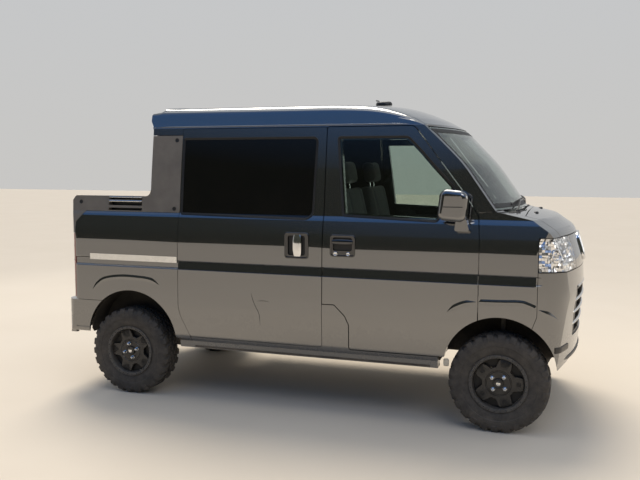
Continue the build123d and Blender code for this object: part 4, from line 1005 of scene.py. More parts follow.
def make_sills():
    """Dark flange under each sill and the pale pad at its front end."""
    land = side_land("body_side_right")
    path = dense([(AXLE - 1960, SILL_FLANGE), (AXLE - 340, SILL_FLANGE)], 60, False)
    section = ((-6, -3), (-6, 0.8), (-4, 1.4), (4, 1.4), (6, 0.8), (6, -3))
    both(laid_strip(land, path, section), "sill_flange", "body", "structure", 40)
    corners = ((-1, -0.6), (-0.6, -1), (0.6, -1), (1, -0.6), (1, 0.6), (0.6, 1), (-0.6, 1), (-1, 0.6))
    station, y = SILL_PAD
    pad_block = skin([
        [(AXLE + station + sx * (21 + grow), y + sy * (15 + grow), z) for sx, sy in corners]
        for z, grow in ((366, -9), (370, -5), (398, -3), (408, -5), (412, -9))
    ])
    for piece in both(pad_block, "sill_end_pad", "body", (PALE_RUBBER, "rail_silver"), 40):
        fine(piece)


DOOR_SCRATCHES = (
    ((-1541, 750), (-1528, 700), (-1508, 655), (-1486, 610), (-1480, 535)),
    ((-1500, 694), (-1455, 698), (-1411, 693)),
)


def make_door_scratches():
    """Two light scrapes on the right-hand sliding door."""
    land = side_land("sliding_door_right")
    scrape = Mesh()
    for points in DOOR_SCRATCHES:
        path = smooth_path([(AXLE + x, z) for x, z in points], 6)
        scrape.add(laid_strip(land, path, ((-1.6, -0.5), (-1.6, 0.15), (1.6, 0.15), (1.6, -0.5)), 5))
    scrape.piece("door_scratches", "body", (RUBBER, "grille_black"), 50)


BUMPER_SLOT = 506.5
BUMPER_LIP = 430


def make_bumper_strips():
    """Dark strip in each slot of the front bumper, round the corner, and the lip below."""
    land = corner_land("front_bumper")
    section = ((-17, -1), (-17, 4), (-13, 5.5), (13, 5.5), (17, 4), (17, -1))
    rings = [
        [land(radians(turn), BUMPER_SLOT + rise, lift) for rise, lift in section] for turn in range(22, 54, 3)
    ]
    strip = skin([ring for ring in rings if None not in ring])
    both(strip, "bumper_strip", "body", "grille_black", 40)
    lip = laid_strip(front_land("front_bumper"), dense([(-560, BUMPER_LIP), (560, BUMPER_LIP)], 40, False),
                     ((-12, -2), (-12, 2), (-6, 7), (6, 7), (12, 2), (12, -2)), 2)
    lip.piece("bumper_lip", "body", "grille_black", 40)


def make_nose_trim():
    """Bright ring on the nose panel and bright blades across the grille."""
    land = front_land("nose_panel")
    outline = [(-150, 972, 34), (150, 972, 34), (138, 1134, 34), (-138, 1134, 34)]
    ring = laid_band(land, dense(rounded(outline), 16), (
        (-15, -1), (-15, 7), (-11, 12), (-5, 14.5), (0, 12.5), (2, 7), (2, -1)))
    ring.piece("nose_ring", "body", "chrome_trim", 50)
    field = Mesh()
    rows = []
    for row in range(7):
        z = 988 + row * 22
        half = 136 - (z - 972) * 0.075
        rows.append([land(-half + 2 * half * column / 18, z, 4 + 2.2 * (row % 2)) for column in range(19)])
    field.grid(rows)
    field.piece("nose_field", "body", "grille_black", 30)
    land = front_land("grille")
    blades = Mesh()
    for z, half in ((557, 430), (623, 448), (693, 462), (763, 452), (838, 428)):
        path = [(y, z) for y in range(-half, half + 1, 20)]
        blades.add(laid_strip(land, path, (
            (-9, -2), (-9, 1.5), (-6, 5), (-1, 10), (5, 9), (9, 3), (9, -2)), 1))
    blades.piece("grille_blades", "body", "chrome_trim", 50)


make_window_seals()
make_drip_rails()
make_arch_lines()
make_sills()
make_door_scratches()
make_bumper_strips()
make_nose_trim()


# Handles, mirrors, wipers, vents, the roof base and the guards' details


SIDE_FACE = 737.5
HANDLE_FACE = SIDE_FACE + 1
SLIDING_HANDLE = ((-1313, 976, 18), (-1156, 976, 18), (-1156, 1138, 18), (-1313, 1138, 18))
DOOR_HANDLE = ((-1017, 998, 18), (-859, 998, 18), (-859, 1132, 18), (-1017, 1132, 18))


def raised_frame(outline, wide, high):
    """Rounded raised frame on an upright outline of (station, height, radius) at the handle face."""
    points = dense(rounded(placed(outline)), 12)
    section = ((-wide, -2), (-wide, high * 0.6), (-wide * 0.6, high), (-wide * 0.25, high * 0.9),
               (0, high * 0.3), (0.3, -1.5))
    rings = [[(x, -HANDLE_FACE - lift, z) for x, z in grown(points, grow)] for grow, lift in section]
    return skin(rings + [rings[0]], True, False)


def pull(x0, x1, z0, z1, crown):
    """Crowned grip bar over a handle's cup."""
    rings = []
    upright = z1 - z0 > x1 - x0
    steps = 10
    for index in range(steps + 1):
        share = index / steps
        half = ((x1 - x0) if upright else (z1 - z0)) / 2 * (1 - 0.25 * abs(2 * share - 1) ** 4)
        ring = []
        for turn in turns(12):
            y = -(HANDLE_FACE + crown * sin(pi * share)) - 6.5 * sin(turn) * 0.8
            if upright:
                ring.append(((x0 + x1) / 2 + half * cos(turn), y, z0 + (z1 - z0) * share))
            else:
                ring.append((x0 + (x1 - x0) * share, y, (z0 + z1) / 2 + half * cos(turn)))
        rings.append(ring)
    return skin(rings)


def make_handles():
    """Smoked frames, crowned grips, dark cups, and the lock under the front handle."""
    smoked = (SMOKED, "chrome_trim")
    both(raised_frame(SLIDING_HANDLE, 11, 3.5), "sliding_handle_frame", "body", smoked, 60)
    grip = pull(AXLE - 1256, AXLE - 1202, 990, 1124, 5)
    both(grip, "sliding_handle_grip", "body", "chrome_trim", 60)
    both(raised_frame(DOOR_HANDLE, 11, 3.5), "door_handle_frame", DOORS, smoked, 60)
    grip = pull(AXLE - 1003, AXLE - 873, 1072, 1104, 4)
    both(grip, "door_handle_grip", DOORS, smoked, 60)
    lock = Mesh()
    for x, radius in ((AXLE - 981, 10.5), (AXLE - 901, 9.0)):
        profile = ((radius + 2, -1), (radius + 2, 1.6), (radius, 2.6), (radius - 1.5, 1.5), (0.4, 1.5))
        lock.spun(profile, (x, -(HANDLE_FACE + 2), 1016), (0, -1, 0), (1, 0, 0), 24)
    lock.block((AXLE - 983, -(HANDLE_FACE + 4.2), 1011), (AXLE - 979, -(HANDLE_FACE + 2.5), 1021))
    both(lock, "door_lock", DOORS, "chrome_trim", 40)
    for name, bodies, x0, x1, z0, z1 in (
        ("sliding_handle_cup", "body", AXLE - 1290, AXLE - 1179, 997, 1117),
        ("door_handle_cup", DOORS, AXLE - 998, AXLE - 878, 1035, 1115),
    ):
        cup = Mesh()
        cup.block((x0, -(SIDE_FACE - 12), z0), (x1, -(SIDE_FACE - 13.4), z1))
        both(cup, name, bodies, "grille_black", 30)


def make_mirror_faces():
    """Mirror glass in a dark rim on the rear of each mirror, and the seam round its shell."""
    land = rear_land("mirror_right")
    outline = [(-846, 1262, 20), (-772, 1262, 20), (-770, 1392, 22), (-844, 1392, 22)]
    points = dense(rounded(outline), 14)
    rim = laid_band(land, points, ((-4, -1), (-4, 2.4), (0, 3.4), (3, 2.0), (3, -1)))
    both(rim, "mirror_rim", DOORS, "grille_black", 50)
    rings = [
        [land(-808 + (y + 808) * share, 1327 + (z - 1327) * share, 1.0) for y, z in grown(points, -2)]
        for share in (1.0, 0.66, 0.33, 0.02)
    ]
    glass = skin(rings, True, False)
    glass.faces.append(tuple(range(len(glass.points) - len(points), len(glass.points))))
    both(glass, "mirror_glass", DOORS, (MIRROR_GLASS, "chrome_trim"), 50)
    land = side_land("mirror_right")
    path = [(x, 1318) for x in range(int(AXLE - 336), int(AXLE - 186), 12)]
    both(laid_strip(land, path, bead(2.5, 0.5, 0.9), 2), "mirror_seam", DOORS, "grille_black", 50)


def make_wipers():
    """Two parked wipers: blade, frame, sprung arm and pivot cap."""
    glass = front_land("windshield")
    cowl = top_land("cowl", "fenders")
    blades, arms = Mesh(), Mesh()
    for pivot_y, start, end in ((-455, -430, 40), (-5, 40, 480)):
        path = []
        for step in range(15):
            share = step / 14
            y = start + (end - start) * share
            path.append(glass(y, 1318 + 22 * share + 6 * sin(pi * share), 7))
        if None in path:
            continue
        blades.tube(path, 4.2, 6)
        blades.tube([point + Vector((2, 0, 5)) for point in path[2:-2]], 3.0, 6)
        pivot = cowl(AXLE + 66, pivot_y, 0)
        if pivot is None:
            continue
        blades.spun(((15, -2), (15, 8), (11, 13), (0.4, 14)), pivot, (0, 0, 1), (1, 0, 0), 20)
        hold = path[7] + Vector((4, 0, 6))
        mid = pivot.lerp(hold, 0.45) + Vector((6, 0, 16))
        lifted = pivot + Vector((0, 0, 12))
        arms.tube([lifted, lifted.lerp(mid, 0.5) + Vector((2, 0, 5)), mid, mid.lerp(hold, 0.6), hold], 4.6, 8)
    blades.piece("wiper_blades", "body", (RUBBER, "grille_black"), 50)
    arms.piece("wiper_arms", "body", "grille_black", 50)


def make_cowl_vents():
    """Fine ribs over the cowl's air intakes, and the washer nozzles on the hood."""
    land = top_land("cowl")
    ribs = Mesh()
    for y in range(-540, 541, 15):
        if 150 < abs(y) < 190:
            continue
        path = [(AXLE + x, y) for x in range(22, 100, 13)]
        ribs.add(laid_strip(land, path, bead(2.6, 1.6, 2.6), 1))
    ribs.piece("cowl_ribs", "body", "grille_black", 50)
    nozzles = Mesh()
    hood = top_land("hood")
    for y in (-300, 300):
        point = hood(AXLE + 165, y, 0)
        nozzles.spun(((15, -2), (14, 3), (10, 7), (4, 8.4), (0.4, 8.6)), point, (0, 0, 1), (1, 0, 0), 20)
    nozzles.piece("washer_nozzles", "hood", "grille_black", 50)


ROOF_BASE = (-855, -60)


def make_roof_base():
    """Low dark base with a stub on the roof, behind the windshield."""
    land = top_land("roof")
    station, y = ROOF_BASE
    base = skin([
        [land(AXLE + station + (56 + grow) * cos(turn), y + (34 + grow * 0.8) * sin(turn), lift)
         for turn in turns(32)]
        for grow, lift in ((0, -3), (0, 8), (-3, 15), (-9, 21), (-20, 24))
    ])
    top = land(AXLE + station - 30, y, 22)
    base.tube([top, top + Vector((-8, 0, 6)), top + Vector((-26, 0, 10))], 4, 8)
    base.piece("roof_base", "body", "grille_black", 50)


def make_guard_details():
    """Plugs on the pillar trim, bright slot bars, and behind the slots a dark sheet of painted shade on the
    bed guards.
    """
    land = side_land("bed_guards")
    plugs = Mesh()
    for x, z in ((AXLE - 2102, 1711), (AXLE - 2102, 1264), (AXLE - 2820, 1300)):
        at = land(x, z, 0)
        normal = (land(x, z, 1) - at).normalized()
        profile = ((14, -1), (14, 1.2), (12.5, 2.4), (9, 1.6), (3, 1.2), (0.4, 1.2))
        plugs.spun(profile, at, normal, (1, 0, 0), 24)
    both(plugs, "guard_plugs", "body", "grille_black", 40)
    # Near-black sheet closing each guard slot from inside: painted shade behind the bars
    opening_shade = Mesh()
    opening_shade.block((AXLE - 2612, -648, 1240), (AXLE - 2334, -644, 1338))
    both(opening_shade, "guard_opening_shade", "body", "grille_black", 30)
    edge = Mesh()
    for z, section in ((1334.5, bead(2.5, 1, 2)), (1309, bead(4, 1, 2.2))):
        edge.add(laid_strip(land, dense([(AXLE - 2598, z), (AXLE - 2348, z)], 40, False), section))
    both(edge, "guard_bars", "body", "rail_silver", 50)


make_handles()
make_mirror_faces()
make_wipers()
make_cowl_vents()
make_roof_base()
make_guard_details()


# Lamps


LAMP_REAR = AXLE + 206.6
LAMP_INNER = -428.6


def headlamp_rows(land, lows, columns):
    """Grid of (turn, z) over the lamp from its side edge to its inner edge."""
    grid = []
    for z in lows:
        hits = []
        for step in range(0, 360):
            turn = radians(4 + step * 0.25)
            point = land(turn, z, 0)
            if point is not None and point.x > LAMP_REAR and point.y < LAMP_INNER:
                hits.append((turn, point))
        reach = [0.0]
        for (_, before), (_, after) in zip(hits, hits[1:]):
            reach.append(reach[-1] + (after - before).length)
        row = []
        for column in range(columns):
            want = reach[-1] * column / (columns - 1)
            index = next((i for i, value in enumerate(reach) if value >= want), len(reach) - 1)
            row.append((hits[index][0], z))
        grid.append(row)
    return grid


def make_headlamps():
    """Clear wrap-round lenses over faceted bowls with bright bezels and bulbs."""
    land = corner_land("headlamps")
    low, high = node_box("headlamps")
    heights = [low.z + 0.8 + (high.z - low.z - 1.6) * step / 12 for step in range(13)]
    columns = 22
    cells = headlamp_rows(land, heights, columns)
    lens, housing, facets, bezels = Mesh(), Mesh(), Mesh(), Mesh()

    def layer(lift):
        return [[land(turn, z, lift) for turn, z in row] for row in cells]

    outer = lens.grid(layer(0))
    inner = lens.grid(layer(-2.2), True)
    lens.wall(outer, inner, len(cells), columns)
    back = housing.grid(layer(-25))
    front = len(housing.points)
    for row in layer(-2.6):
        housing.points += row
    housing.wall(front, back, len(cells), columns)
    chance = random.Random(11)
    for r in range(len(cells) - 1):
        for c in range(columns - 1):
            corners = []
            deep = 13 + 7 * chance.random()
            lean = (chance.uniform(-3.5, 3.5), chance.uniform(-3.5, 3.5))
            for dr, dc in ((0, 0), (0, 1), (1, 1), (1, 0)):
                turn, z = cells[r + dr][c + dc]
                lift = -(deep + lean[0] * (dr - 0.5) * 2 + lean[1] * (dc - 0.5) * 2)
                corners.append(tuple(land(turn, z, lift)))
            start = len(facets.points)
            facets.points += corners
            facets.faces.append((start, start + 1, start + 2, start + 3))
    for column, row, radius in ((6, 6, 33), (14, 6, 40), (19, 7, 24)):
        turn, z = cells[row][column]
        at = land(turn, z, -21)
        normal = (land(turn, z, 1) - land(turn, z, 0)).normalized()
        bowl = (
            (radius, 0), (radius, 9), (radius - 3, 12), (radius - 6, 9), (radius - 9, 2), (radius - 13, 0),
            (12, -1), (11, 5), (7, 9), (0.4, 10),
        )
        bezels.spun(bowl, at, normal, (0, 0, 1), 28)
    for mesh, name, finish, smooth, stands_for in (
        (lens, "headlamp_lenses", (LENS, "lamp_clear"), 40, ("headlamps",)),
        (housing, "headlamp_housings", (REFLECTOR, "chrome_trim"), 30, ()),
        (facets, "headlamp_facets", (REFLECTOR, "chrome_trim"), 2, ()),
        (bezels, "headlamp_bowls", "chrome_trim", 35, ()),
    ):
        mesh.add(mesh.mirrored())
        mesh.piece(name, "body", finish, smooth, stands_for)


def make_tail_lamp_trim():
    """Thin dark dividers between the segments of each tail lamp."""
    dividers = Mesh()
    land = rear_land("tail_lamps")
    for z in (1000, 900, 760):
        path = [(y, z) for y in range(-728, -632, 8)]
        dividers.add(laid_strip(land, path, bead(2.5, 1, 1.8), 1))
    both(dividers, "tail_lamp_dividers", "body", "grille_black", 50)


make_headlamps()
make_tail_lamp_trim()


# Roof shell with the step behind the cab, body sides, groove faces and guard fillets

ROOF_SEAM = 1792
ROOF_HALF_SECTION = (
    (-631.8, 1792), (-628.5, 1800.5), (-624, 1822), (-620, 1841.5), (-615.5, 1863), (-609.5, 1881),
    (-600, 1896.9), (-587, 1909.5), (-573, 1918.2), (-556, 1924), (-530, 1928.4), (-500, 1931.5),
    (-400, 1940.4), (-300, 1947.3), (-200, 1952.4), (-100, 1955.6), (0, 1956.5),
)
NOSE_LINE = (
    (-3000, 1990), (-900, 1984), (-820, 1972), (-760, 1961), (-700, 1949.9), (-640, 1932.8), (-580, 1909.8),
    (-520, 1884.3), (-460, 1858.6), (-400, 1832.3), (-340, 1797.8), (-334, 1792), (-200, 1660),
)
BOW_STATION = -1858
ROOF_FRONT = -334
ROOF_REAR_ROWS = (
    (-2282, 1793), (-2297, 1815), (-2304, 1838), (-2304, 1880), (-2299, 1888), (-2240, 1896), (-2231, 1903),
    (-2222, 1936), (-2214, 1952),
)
CORNER_ROUNDING = 90
ROOF_SKIN = 18


def nose_height(station, y):
    """Height of the bowed nose over a point of the roof."""
    along = BOW_STATION + hypot(station - BOW_STATION, y)
    for (s0, z0), (s1, z1) in zip(NOSE_LINE, NOSE_LINE[1:]):
        if along <= s1:
            return z0 + (z1 - z0) * (along - s0) / (s1 - s0)
    return NOSE_LINE[-1][1]


def rounded_low(first, second, reach):
    """The lower of two heights, rounded off where they meet."""
    close = max(reach - abs(first - second), 0) / reach
    return min(first, second) - close * close * reach / 4


def make_roof_shell():
    """Closed roof shell, smooth at its front corners."""
    half = smooth_path(ROOF_HALF_SECTION, 3)
    section = half + [(-y, z) for y, z in reversed(half[:-1])]
    rows = []
    for back, limit in ROOF_REAR_ROWS:
        row = []
        for y, z in section:
            height = min(z, limit)
            edge = -2281 - 23 * min(1, (height - ROOF_SEAM) / 46)
            row.append((AXLE + max(back, edge), y, height))
        rows.append(row)
    steps = 44
    for step in range(steps + 1):
        share = 1 - (1 - step / steps) ** 2
        row = []
        for y, z in section:
            front = BOW_STATION + ((ROOF_FRONT - BOW_STATION) ** 2 - y * y) ** 0.5
            station = -2206 + (front + 2206) * share
            reach = 1 + CORNER_ROUNDING * min(1, (z - ROOF_SEAM) / 60)
            height = rounded_low(z, nose_height(station, y), reach)
            row.append((AXLE + station, y, max(ROOF_SEAM, height)))
        rows.append(row)
    shell = Mesh()
    shell.grid(rows, True)
    roof = shell.piece("roof_shell", "body", "body_paint", 38, ("roof",))
    skin = roof.modifiers.new("skin", "SOLIDIFY")
    skin.thickness = ROOF_SKIN * MM
    skin.offset = -1


PILLAR_LINE = ((1560, -104), (1640, -176), (1792, -334))
PILLAR_SLACK = 6


def pillar_limit(y, z):
    """Station where the bowed windshield surface stands at a height and distance from the middle."""
    (z0, s0), (z1, s1), (z2, s2) = PILLAR_LINE
    middle = s0 + (s1 - s0) * (z - z0) / (z1 - z0) if z < z1 else s1 + (s2 - s1) * (z - z1) / (z2 - z1)
    return BOW_STATION + ((middle - BOW_STATION) ** 2 - y * y) ** 0.5


def make_body_sides():
    """Body sides with the upper front corner drawn back to the windshield's surface."""
    for side in ("right", "left"):
        node = f"body_side_{side}"
        source = frame["nodes"][node].data
        points = []
        for vertex in source.vertices:
            x, y, z = vertex.co / MM
            if z > 1640 and x - AXLE > -620:
                limit = AXLE + pillar_limit(y, z)
                if x > limit + PILLAR_SLACK:
                    x = limit
            points.append((x, y, z))
        faces = [tuple(polygon.vertices) for polygon in source.polygons]
        make_piece(f"trimmed_side_{side}", "body", "body_paint", points, faces, 30, (node,))


GROOVE_FACE = -736.9
GROOVE_SECTION = ((3, 874), (0, 873), (0.8, 879), (4.6, 903), (7.6, 921.6), (12, 921.4))
GROOVE_RUNS = (
    # name, bodies, first and last station
    ("sliding", "body", -2057, -1071),
    ("door", DOORS, -1064, -128),
    ("fender", "body", -124, 196),
)


def make_groove_faces():
    """Leaning face that fills the pressed line along each side, with a crease at its top."""
    for name, bodies, rear, front in GROOVE_RUNS:
        strip = skin([
            [(AXLE + station, GROOVE_FACE + inward, z) for inward, z in GROOVE_SECTION]
            for station in (rear, front)
        ])
        both(strip, f"groove_face_{name}", bodies, "body_paint", 50)


FILLET_CORNER = (-2281, 1342)
FILLET_RADIUS = 42


def make_guard_fillets():
    """Hollow rounding where each bed guard meets the cab's pillar trim."""
    land = side_land("bed_guards")
    station, z = FILLET_CORNER
    outer = land(AXLE + station - 8, z - 8, 0).y + 0.4
    outline = [(AXLE + station + 2, z - 2), (AXLE + station + 2, z + FILLET_RADIUS)]
    for step in range(13):
        turn = radians(90 * step / 12)
        outline.append((AXLE + station - FILLET_RADIUS + FILLET_RADIUS * cos(turn),
                        z + FILLET_RADIUS - FILLET_RADIUS * sin(turn)))
    outline.append((AXLE + station - FILLET_RADIUS, z - 2))
    fillet = skin([[(x, y, up) for x, up in outline] for y in (outer, outer + 28)])
    both(fillet, "guard_fillet", "body", "matte_trim", 30)


make_roof_shell()
make_body_sides()
make_guard_fillets()
make_groove_faces()


# Seats: padded forms with sewn channels and head restraints


def pad(origin, along, up, size, crown, pull_in, channels, corner=34):
    """Crowned closed pad: size is (length, width, height); channels are (axis, place, depth)."""
    along = Vector(along).normalized()
    up = Vector(up).normalized()
    across = up.cross(along)
    length, width, height = size
    mesh = Mesh()
    count_x, count_y, count_z = 22, 24, 7
    numbers = {}

    def corner_point(i, j, k):
        key = (i, j, k)
        if key in numbers:
            return numbers[key]
        s, t, q = 2 * i / count_x - 1, 2 * j / count_y - 1, 2 * k / count_z - 1
        x, y, z = s * length / 2, t * width / 2, q * height / 2
        inner = Vector((max(-length / 2 + corner, min(length / 2 - corner, x)),
                        max(-width / 2 + corner, min(width / 2 - corner, y)),
                        max(-height / 2 + corner, min(height / 2 - corner, z))))
        out = Vector((x, y, z)) - inner
        place = inner + out.normalized() * corner if out.length > 1e-6 else Vector((x, y, z))
        bulge = (1 - s * s) * (1 - t * t)
        place.z += crown * bulge * (1 if q > 0 else 0.15 * (q < 0) * -1) * abs(q)
        place.y *= 1 - pull_in * (1 - s * s) * t * t
        place.x *= 1 - pull_in * (1 - t * t) * s * s
        if q > 0.4:
            for axis, at, depth in channels:
                value = s if axis == "along" else t
                other = t if axis == "along" else s
                if axis == "along" and abs(other) > 0.56:
                    continue
                place.z -= depth * 2.7 ** (-((value - at) / 0.035) ** 2)
        numbers[key] = len(mesh.points)
        mesh.points.append(tuple(Vector(origin) + along * place.x + across * place.y + up * place.z))
        return numbers[key]

    def face(*corners):
        mesh.faces.append(tuple(corner_point(*c) for c in corners))

    for i in range(count_x):
        for j in range(count_y):
            face((i, j, 0), (i, j + 1, 0), (i + 1, j + 1, 0), (i + 1, j, 0))
            face((i, j, count_z), (i + 1, j, count_z), (i + 1, j + 1, count_z), (i, j + 1, count_z))
    for i in range(count_x):
        for k in range(count_z):
            face((i, 0, k), (i + 1, 0, k), (i + 1, 0, k + 1), (i, 0, k + 1))
            face((i, count_y, k), (i, count_y, k + 1), (i + 1, count_y, k + 1), (i + 1, count_y, k))
    for j in range(count_y):
        for k in range(count_z):
            face((0, j, k), (0, j, k + 1), (0, j + 1, k + 1), (0, j + 1, k))
            face((count_x, j, k), (count_x, j + 1, k), (count_x, j + 1, k + 1), (count_x, j, k + 1))
    return mesh


BOLSTERS = (("across", -0.6, 9), ("across", 0.6, 9))
CUSHION_SEAMS = BOLSTERS + (("along", -0.36, 6), ("along", 0.02, 6), ("along", 0.4, 6))
BACK_SEAMS = BOLSTERS + (("along", -0.45, 6), ("along", -0.05, 6), ("along", 0.35, 6))


def finish_pad(mesh, name, node):
    """Cloth pad that stands for a seat's solid."""
    piece = mesh.piece(name, "body", "seat_cloth", 60, (node,))
    fine(piece)


SEAT_OFFSET = 320
BENCH_OFFSET = 293


def make_seats():
    """Two front seats and a rear bench."""
    for side, sign in SIDES:
        middle = sign * SEAT_OFFSET
        cushion = pad((AXLE - 668, middle, 828), (1, 0, 0.055), (-0.055, 0, 1), (418, 486, 118), 16, 0.02,
                      CUSHION_SEAMS)
        finish_pad(cushion, f"front_cushion_{side}", "front_seats")
        lean = Vector((-105, 0, 500)).normalized()
        out = Vector((500, 0, 105)).normalized()
        back = pad((AXLE - 985, middle, 1148), lean, out, (520, 470, 96), 14, 0.02, BACK_SEAMS)
        finish_pad(back, f"front_back_{side}", "front_seats")
        rest = pad((AXLE - 1036, middle, 1504), lean, out, (146, 236, 76), 12, 0.05, (), 30)
        finish_pad(rest, f"head_restraint_{side}", "front_seats")
        posts = Mesh()
        for offset in (-52, 52):
            foot = Vector((AXLE - 1032, middle + offset, 1392))
            posts.tube([foot, foot + Vector((-6, 0, 60))], 6, 12)
        posts.piece(f"restraint_posts_{side}", "body", "chrome_trim", 50)
        bench = pad((AXLE - 1838, sign * BENCH_OFFSET, 842), (1, 0, 0.05), (-0.05, 0, 1), (392, 574, 104),
                    15, 0.015, CUSHION_SEAMS)
        finish_pad(bench, f"rear_cushion_{side}", "rear_seat")
        lean = Vector((-80, 0, 540)).normalized()
        out = Vector((540, 0, 80)).normalized()
        back = pad((AXLE - 2133, sign * BENCH_OFFSET, 1150), lean, out, (516, 574, 88), 13, 0.015,
                   BACK_SEAMS)
        finish_pad(back, f"rear_back_{side}", "rear_seat")
    profile = ((-2030, 521), (-1650, 521), (-1646, 780), (-1660, 792), (-2030, 792))
    base = skin([[(AXLE + x, y, z) for x, z in profile] for y in (-588, 588)])
    seat_base = base.piece("rear_seat_base", "body", "interior_trim", 30)
    soften(seat_base, 8, 3)


# Cabin trim


def inner_panel(land, x0, x1, z0, z1, lift, radius=50):
    """Shallow panel on an inner face, crowned towards its middle."""
    outline = dense(rounded([(x0, z0, radius), (x1, z0, radius), (x1, z1, radius), (x0, z1, radius)]), 30)
    middle = Vector(((x0 + x1) / 2, (z0 + z1) / 2))
    steps = ((1.0, -1), (1.0, lift * 0.7), (0.985, lift), (0.6, lift), (0.3, lift), (0.02, lift))
    return skin([
        landed_ring(land, [middle + (Vector(point) - middle) * share for point in outline], rise)
        for share, rise in steps
    ])


def make_door_cards():
    """Inner trim of each door: panel, cloth field, armrest and handle lever."""
    for name, node, bodies, x0, x1 in (
        ("door_card", "door_right", DOORS, AXLE - 870, AXLE - 190),
        ("sliding_card", "sliding_door_right", "body", AXLE - 1985, AXLE - 1130),
    ):
        land = inner_land(node)
        both(inner_panel(land, x0, x1, 585, 1180, 6), name, bodies, "interior_trim", 40)
        both(inner_panel(land, x0 + 70, x1 - 90, 660, 850, 8.5, 40), f"{name}_field", bodies,
             "seat_cloth", 40)
        rings = []
        face = land((x0 + x1) / 2, 900, 5).y
        for step in range(9):
            share = step / 8
            x = x0 + 110 + (x1 - x0 - 260) * share
            grow = 1 - abs(2 * share - 1) ** 5 * 0.6
            rings.append([(x, face + (20 + 22 * cos(turn)) * grow, 905 + 20 * sin(turn) * grow)
                          for turn in turns(14)])
        both(skin(rings), f"{name}_armrest", bodies, "interior_trim", 50)
        lever = Mesh()
        lever.tube([(x1 - 110, face + 2, 1030), (x1 - 110, face + 14, 1030), (x1 - 170, face + 16, 1032),
                    (x1 - 196, face + 12, 1034)], 7, 10)
        both(lever, f"{name}_lever", bodies, "chrome_trim", 50)


def make_dashboard():
    """Vents, instruments, centre stack, glovebox, wheel pad, stalks, shift lever and mirror."""
    front = AXLE - 338
    vents = Mesh()
    for y in (-585, -110, 110, 585):
        for row in range(5):
            z = 1128 + row * 13
            vents.block((front - 8, y - 44, z), (front + 6, y + 44, z + 5))
    vents.piece("dash_vents", "body", "grille_black", 30)
    rings = []
    for x, grow in ((-352, 0.96), (-345, 1.0), (-300, 1.0), (-230, 0.9), (-195, 0.7)):
        rings.append([
            (AXLE + x, -320 + 150 * grow * cos(turn), 1212 + 60 * grow * max(0.0, sin(turn)) ** 0.7 - 20)
            for turn in (pi * index / 16 for index in range(17))
        ])
    binnacle = skin(rings, False, False).piece("instrument_hood", "body", "interior_trim", 50)
    shell = binnacle.modifiers.new("shell", "SOLIDIFY")
    shell.thickness = 6 * MM
    dials = Mesh()
    for y, radius in ((-372, 44), (-275, 44)):
        dials.spun(((radius, -3), (radius, 4), (radius - 4, 6), (radius - 7, 3), (0.4, 3)),
                   (front - 4, y, 1204), (-1, 0, 0), (0, 1, 0), 32)
    dials.piece("dash_dials", "body", "grille_black", 35)
    stack = Mesh()
    stack.block((front - 14, -96, 985), (front + 12, 96, 1108))
    centre = stack.piece("centre_stack", "body", "grille_black", 30)
    soften(centre, 6, 3)
    knobs = Mesh()
    for y in (-60, 0, 60):
        knobs.spun(((17, 0), (17, 10), (14, 16), (0.4, 17)), (front - 13, y, 1018), (-1, 0, 0), (0, 1, 0), 24)
    knobs.piece("centre_knobs", "body", "interior_trim", 40)
    glovebox = Mesh()
    glovebox.block((front - 5, 190, 1000), (front + 12, 560, 1112))
    lid = glovebox.piece("glovebox_lid", "body", "interior_trim", 30)
    soften(lid, 8, 3)
    hub = Vector((AXLE - 348, -320, 1080))
    axis = Vector((-0.64, 0, 0.77)).normalized()
    up = Vector((0.77, 0, 0.64)).normalized()
    pad_mesh = pad(hub + axis * 138, up, axis, (118, 136, 34), 8, 0.04, (), 16)
    boss = pad_mesh.piece("wheel_pad", "body", "interior_trim", 60)
    fine(boss)
    stalks = Mesh()
    for side in (-1, 1):
        base = hub + axis * 92 + Vector((0, side * 20, 0))
        stalks.tube([base, base + Vector((0, side * 60, 4)), base + Vector((0, side * 150, 16))], 6, 8)
    stalks.piece("column_stalks", "body", "grille_black", 50)
    shift = Mesh()
    floor_point = Vector((AXLE - 372, -120, 968))
    shift.tube([floor_point, floor_point + Vector((-40, 0, 70))], 6, 10)
    shift.spun(((6, 0), (16, 8), (20, 22), (16, 36), (6, 43), (0.4, 44)), floor_point + Vector((-38, 0, 64)),
               (-0.4, 0, 0.9), (0, 1, 0), 20)
    shift.piece("shift_lever", "body", "grille_black", 50)
    outline = rounded([(-105, 1690, 22), (105, 1690, 22), (105, 1752, 22), (-105, 1752, 22)], 5)
    mirror = skin([[(x, y, z) for y, z in outline] for x in (AXLE - 520, AXLE - 498)])
    mirror.tube([(AXLE - 500, 0, 1735), (AXLE - 470, 0, 1775)], 7, 10)
    piece = mirror.piece("inner_mirror", "body", "grille_black", 40)
    soften(piece, 4, 2)


# Load bed and rear


BED_RIBS = 13
BED_RIB_PITCH = 78
GRIP_HEIGHT = 1086


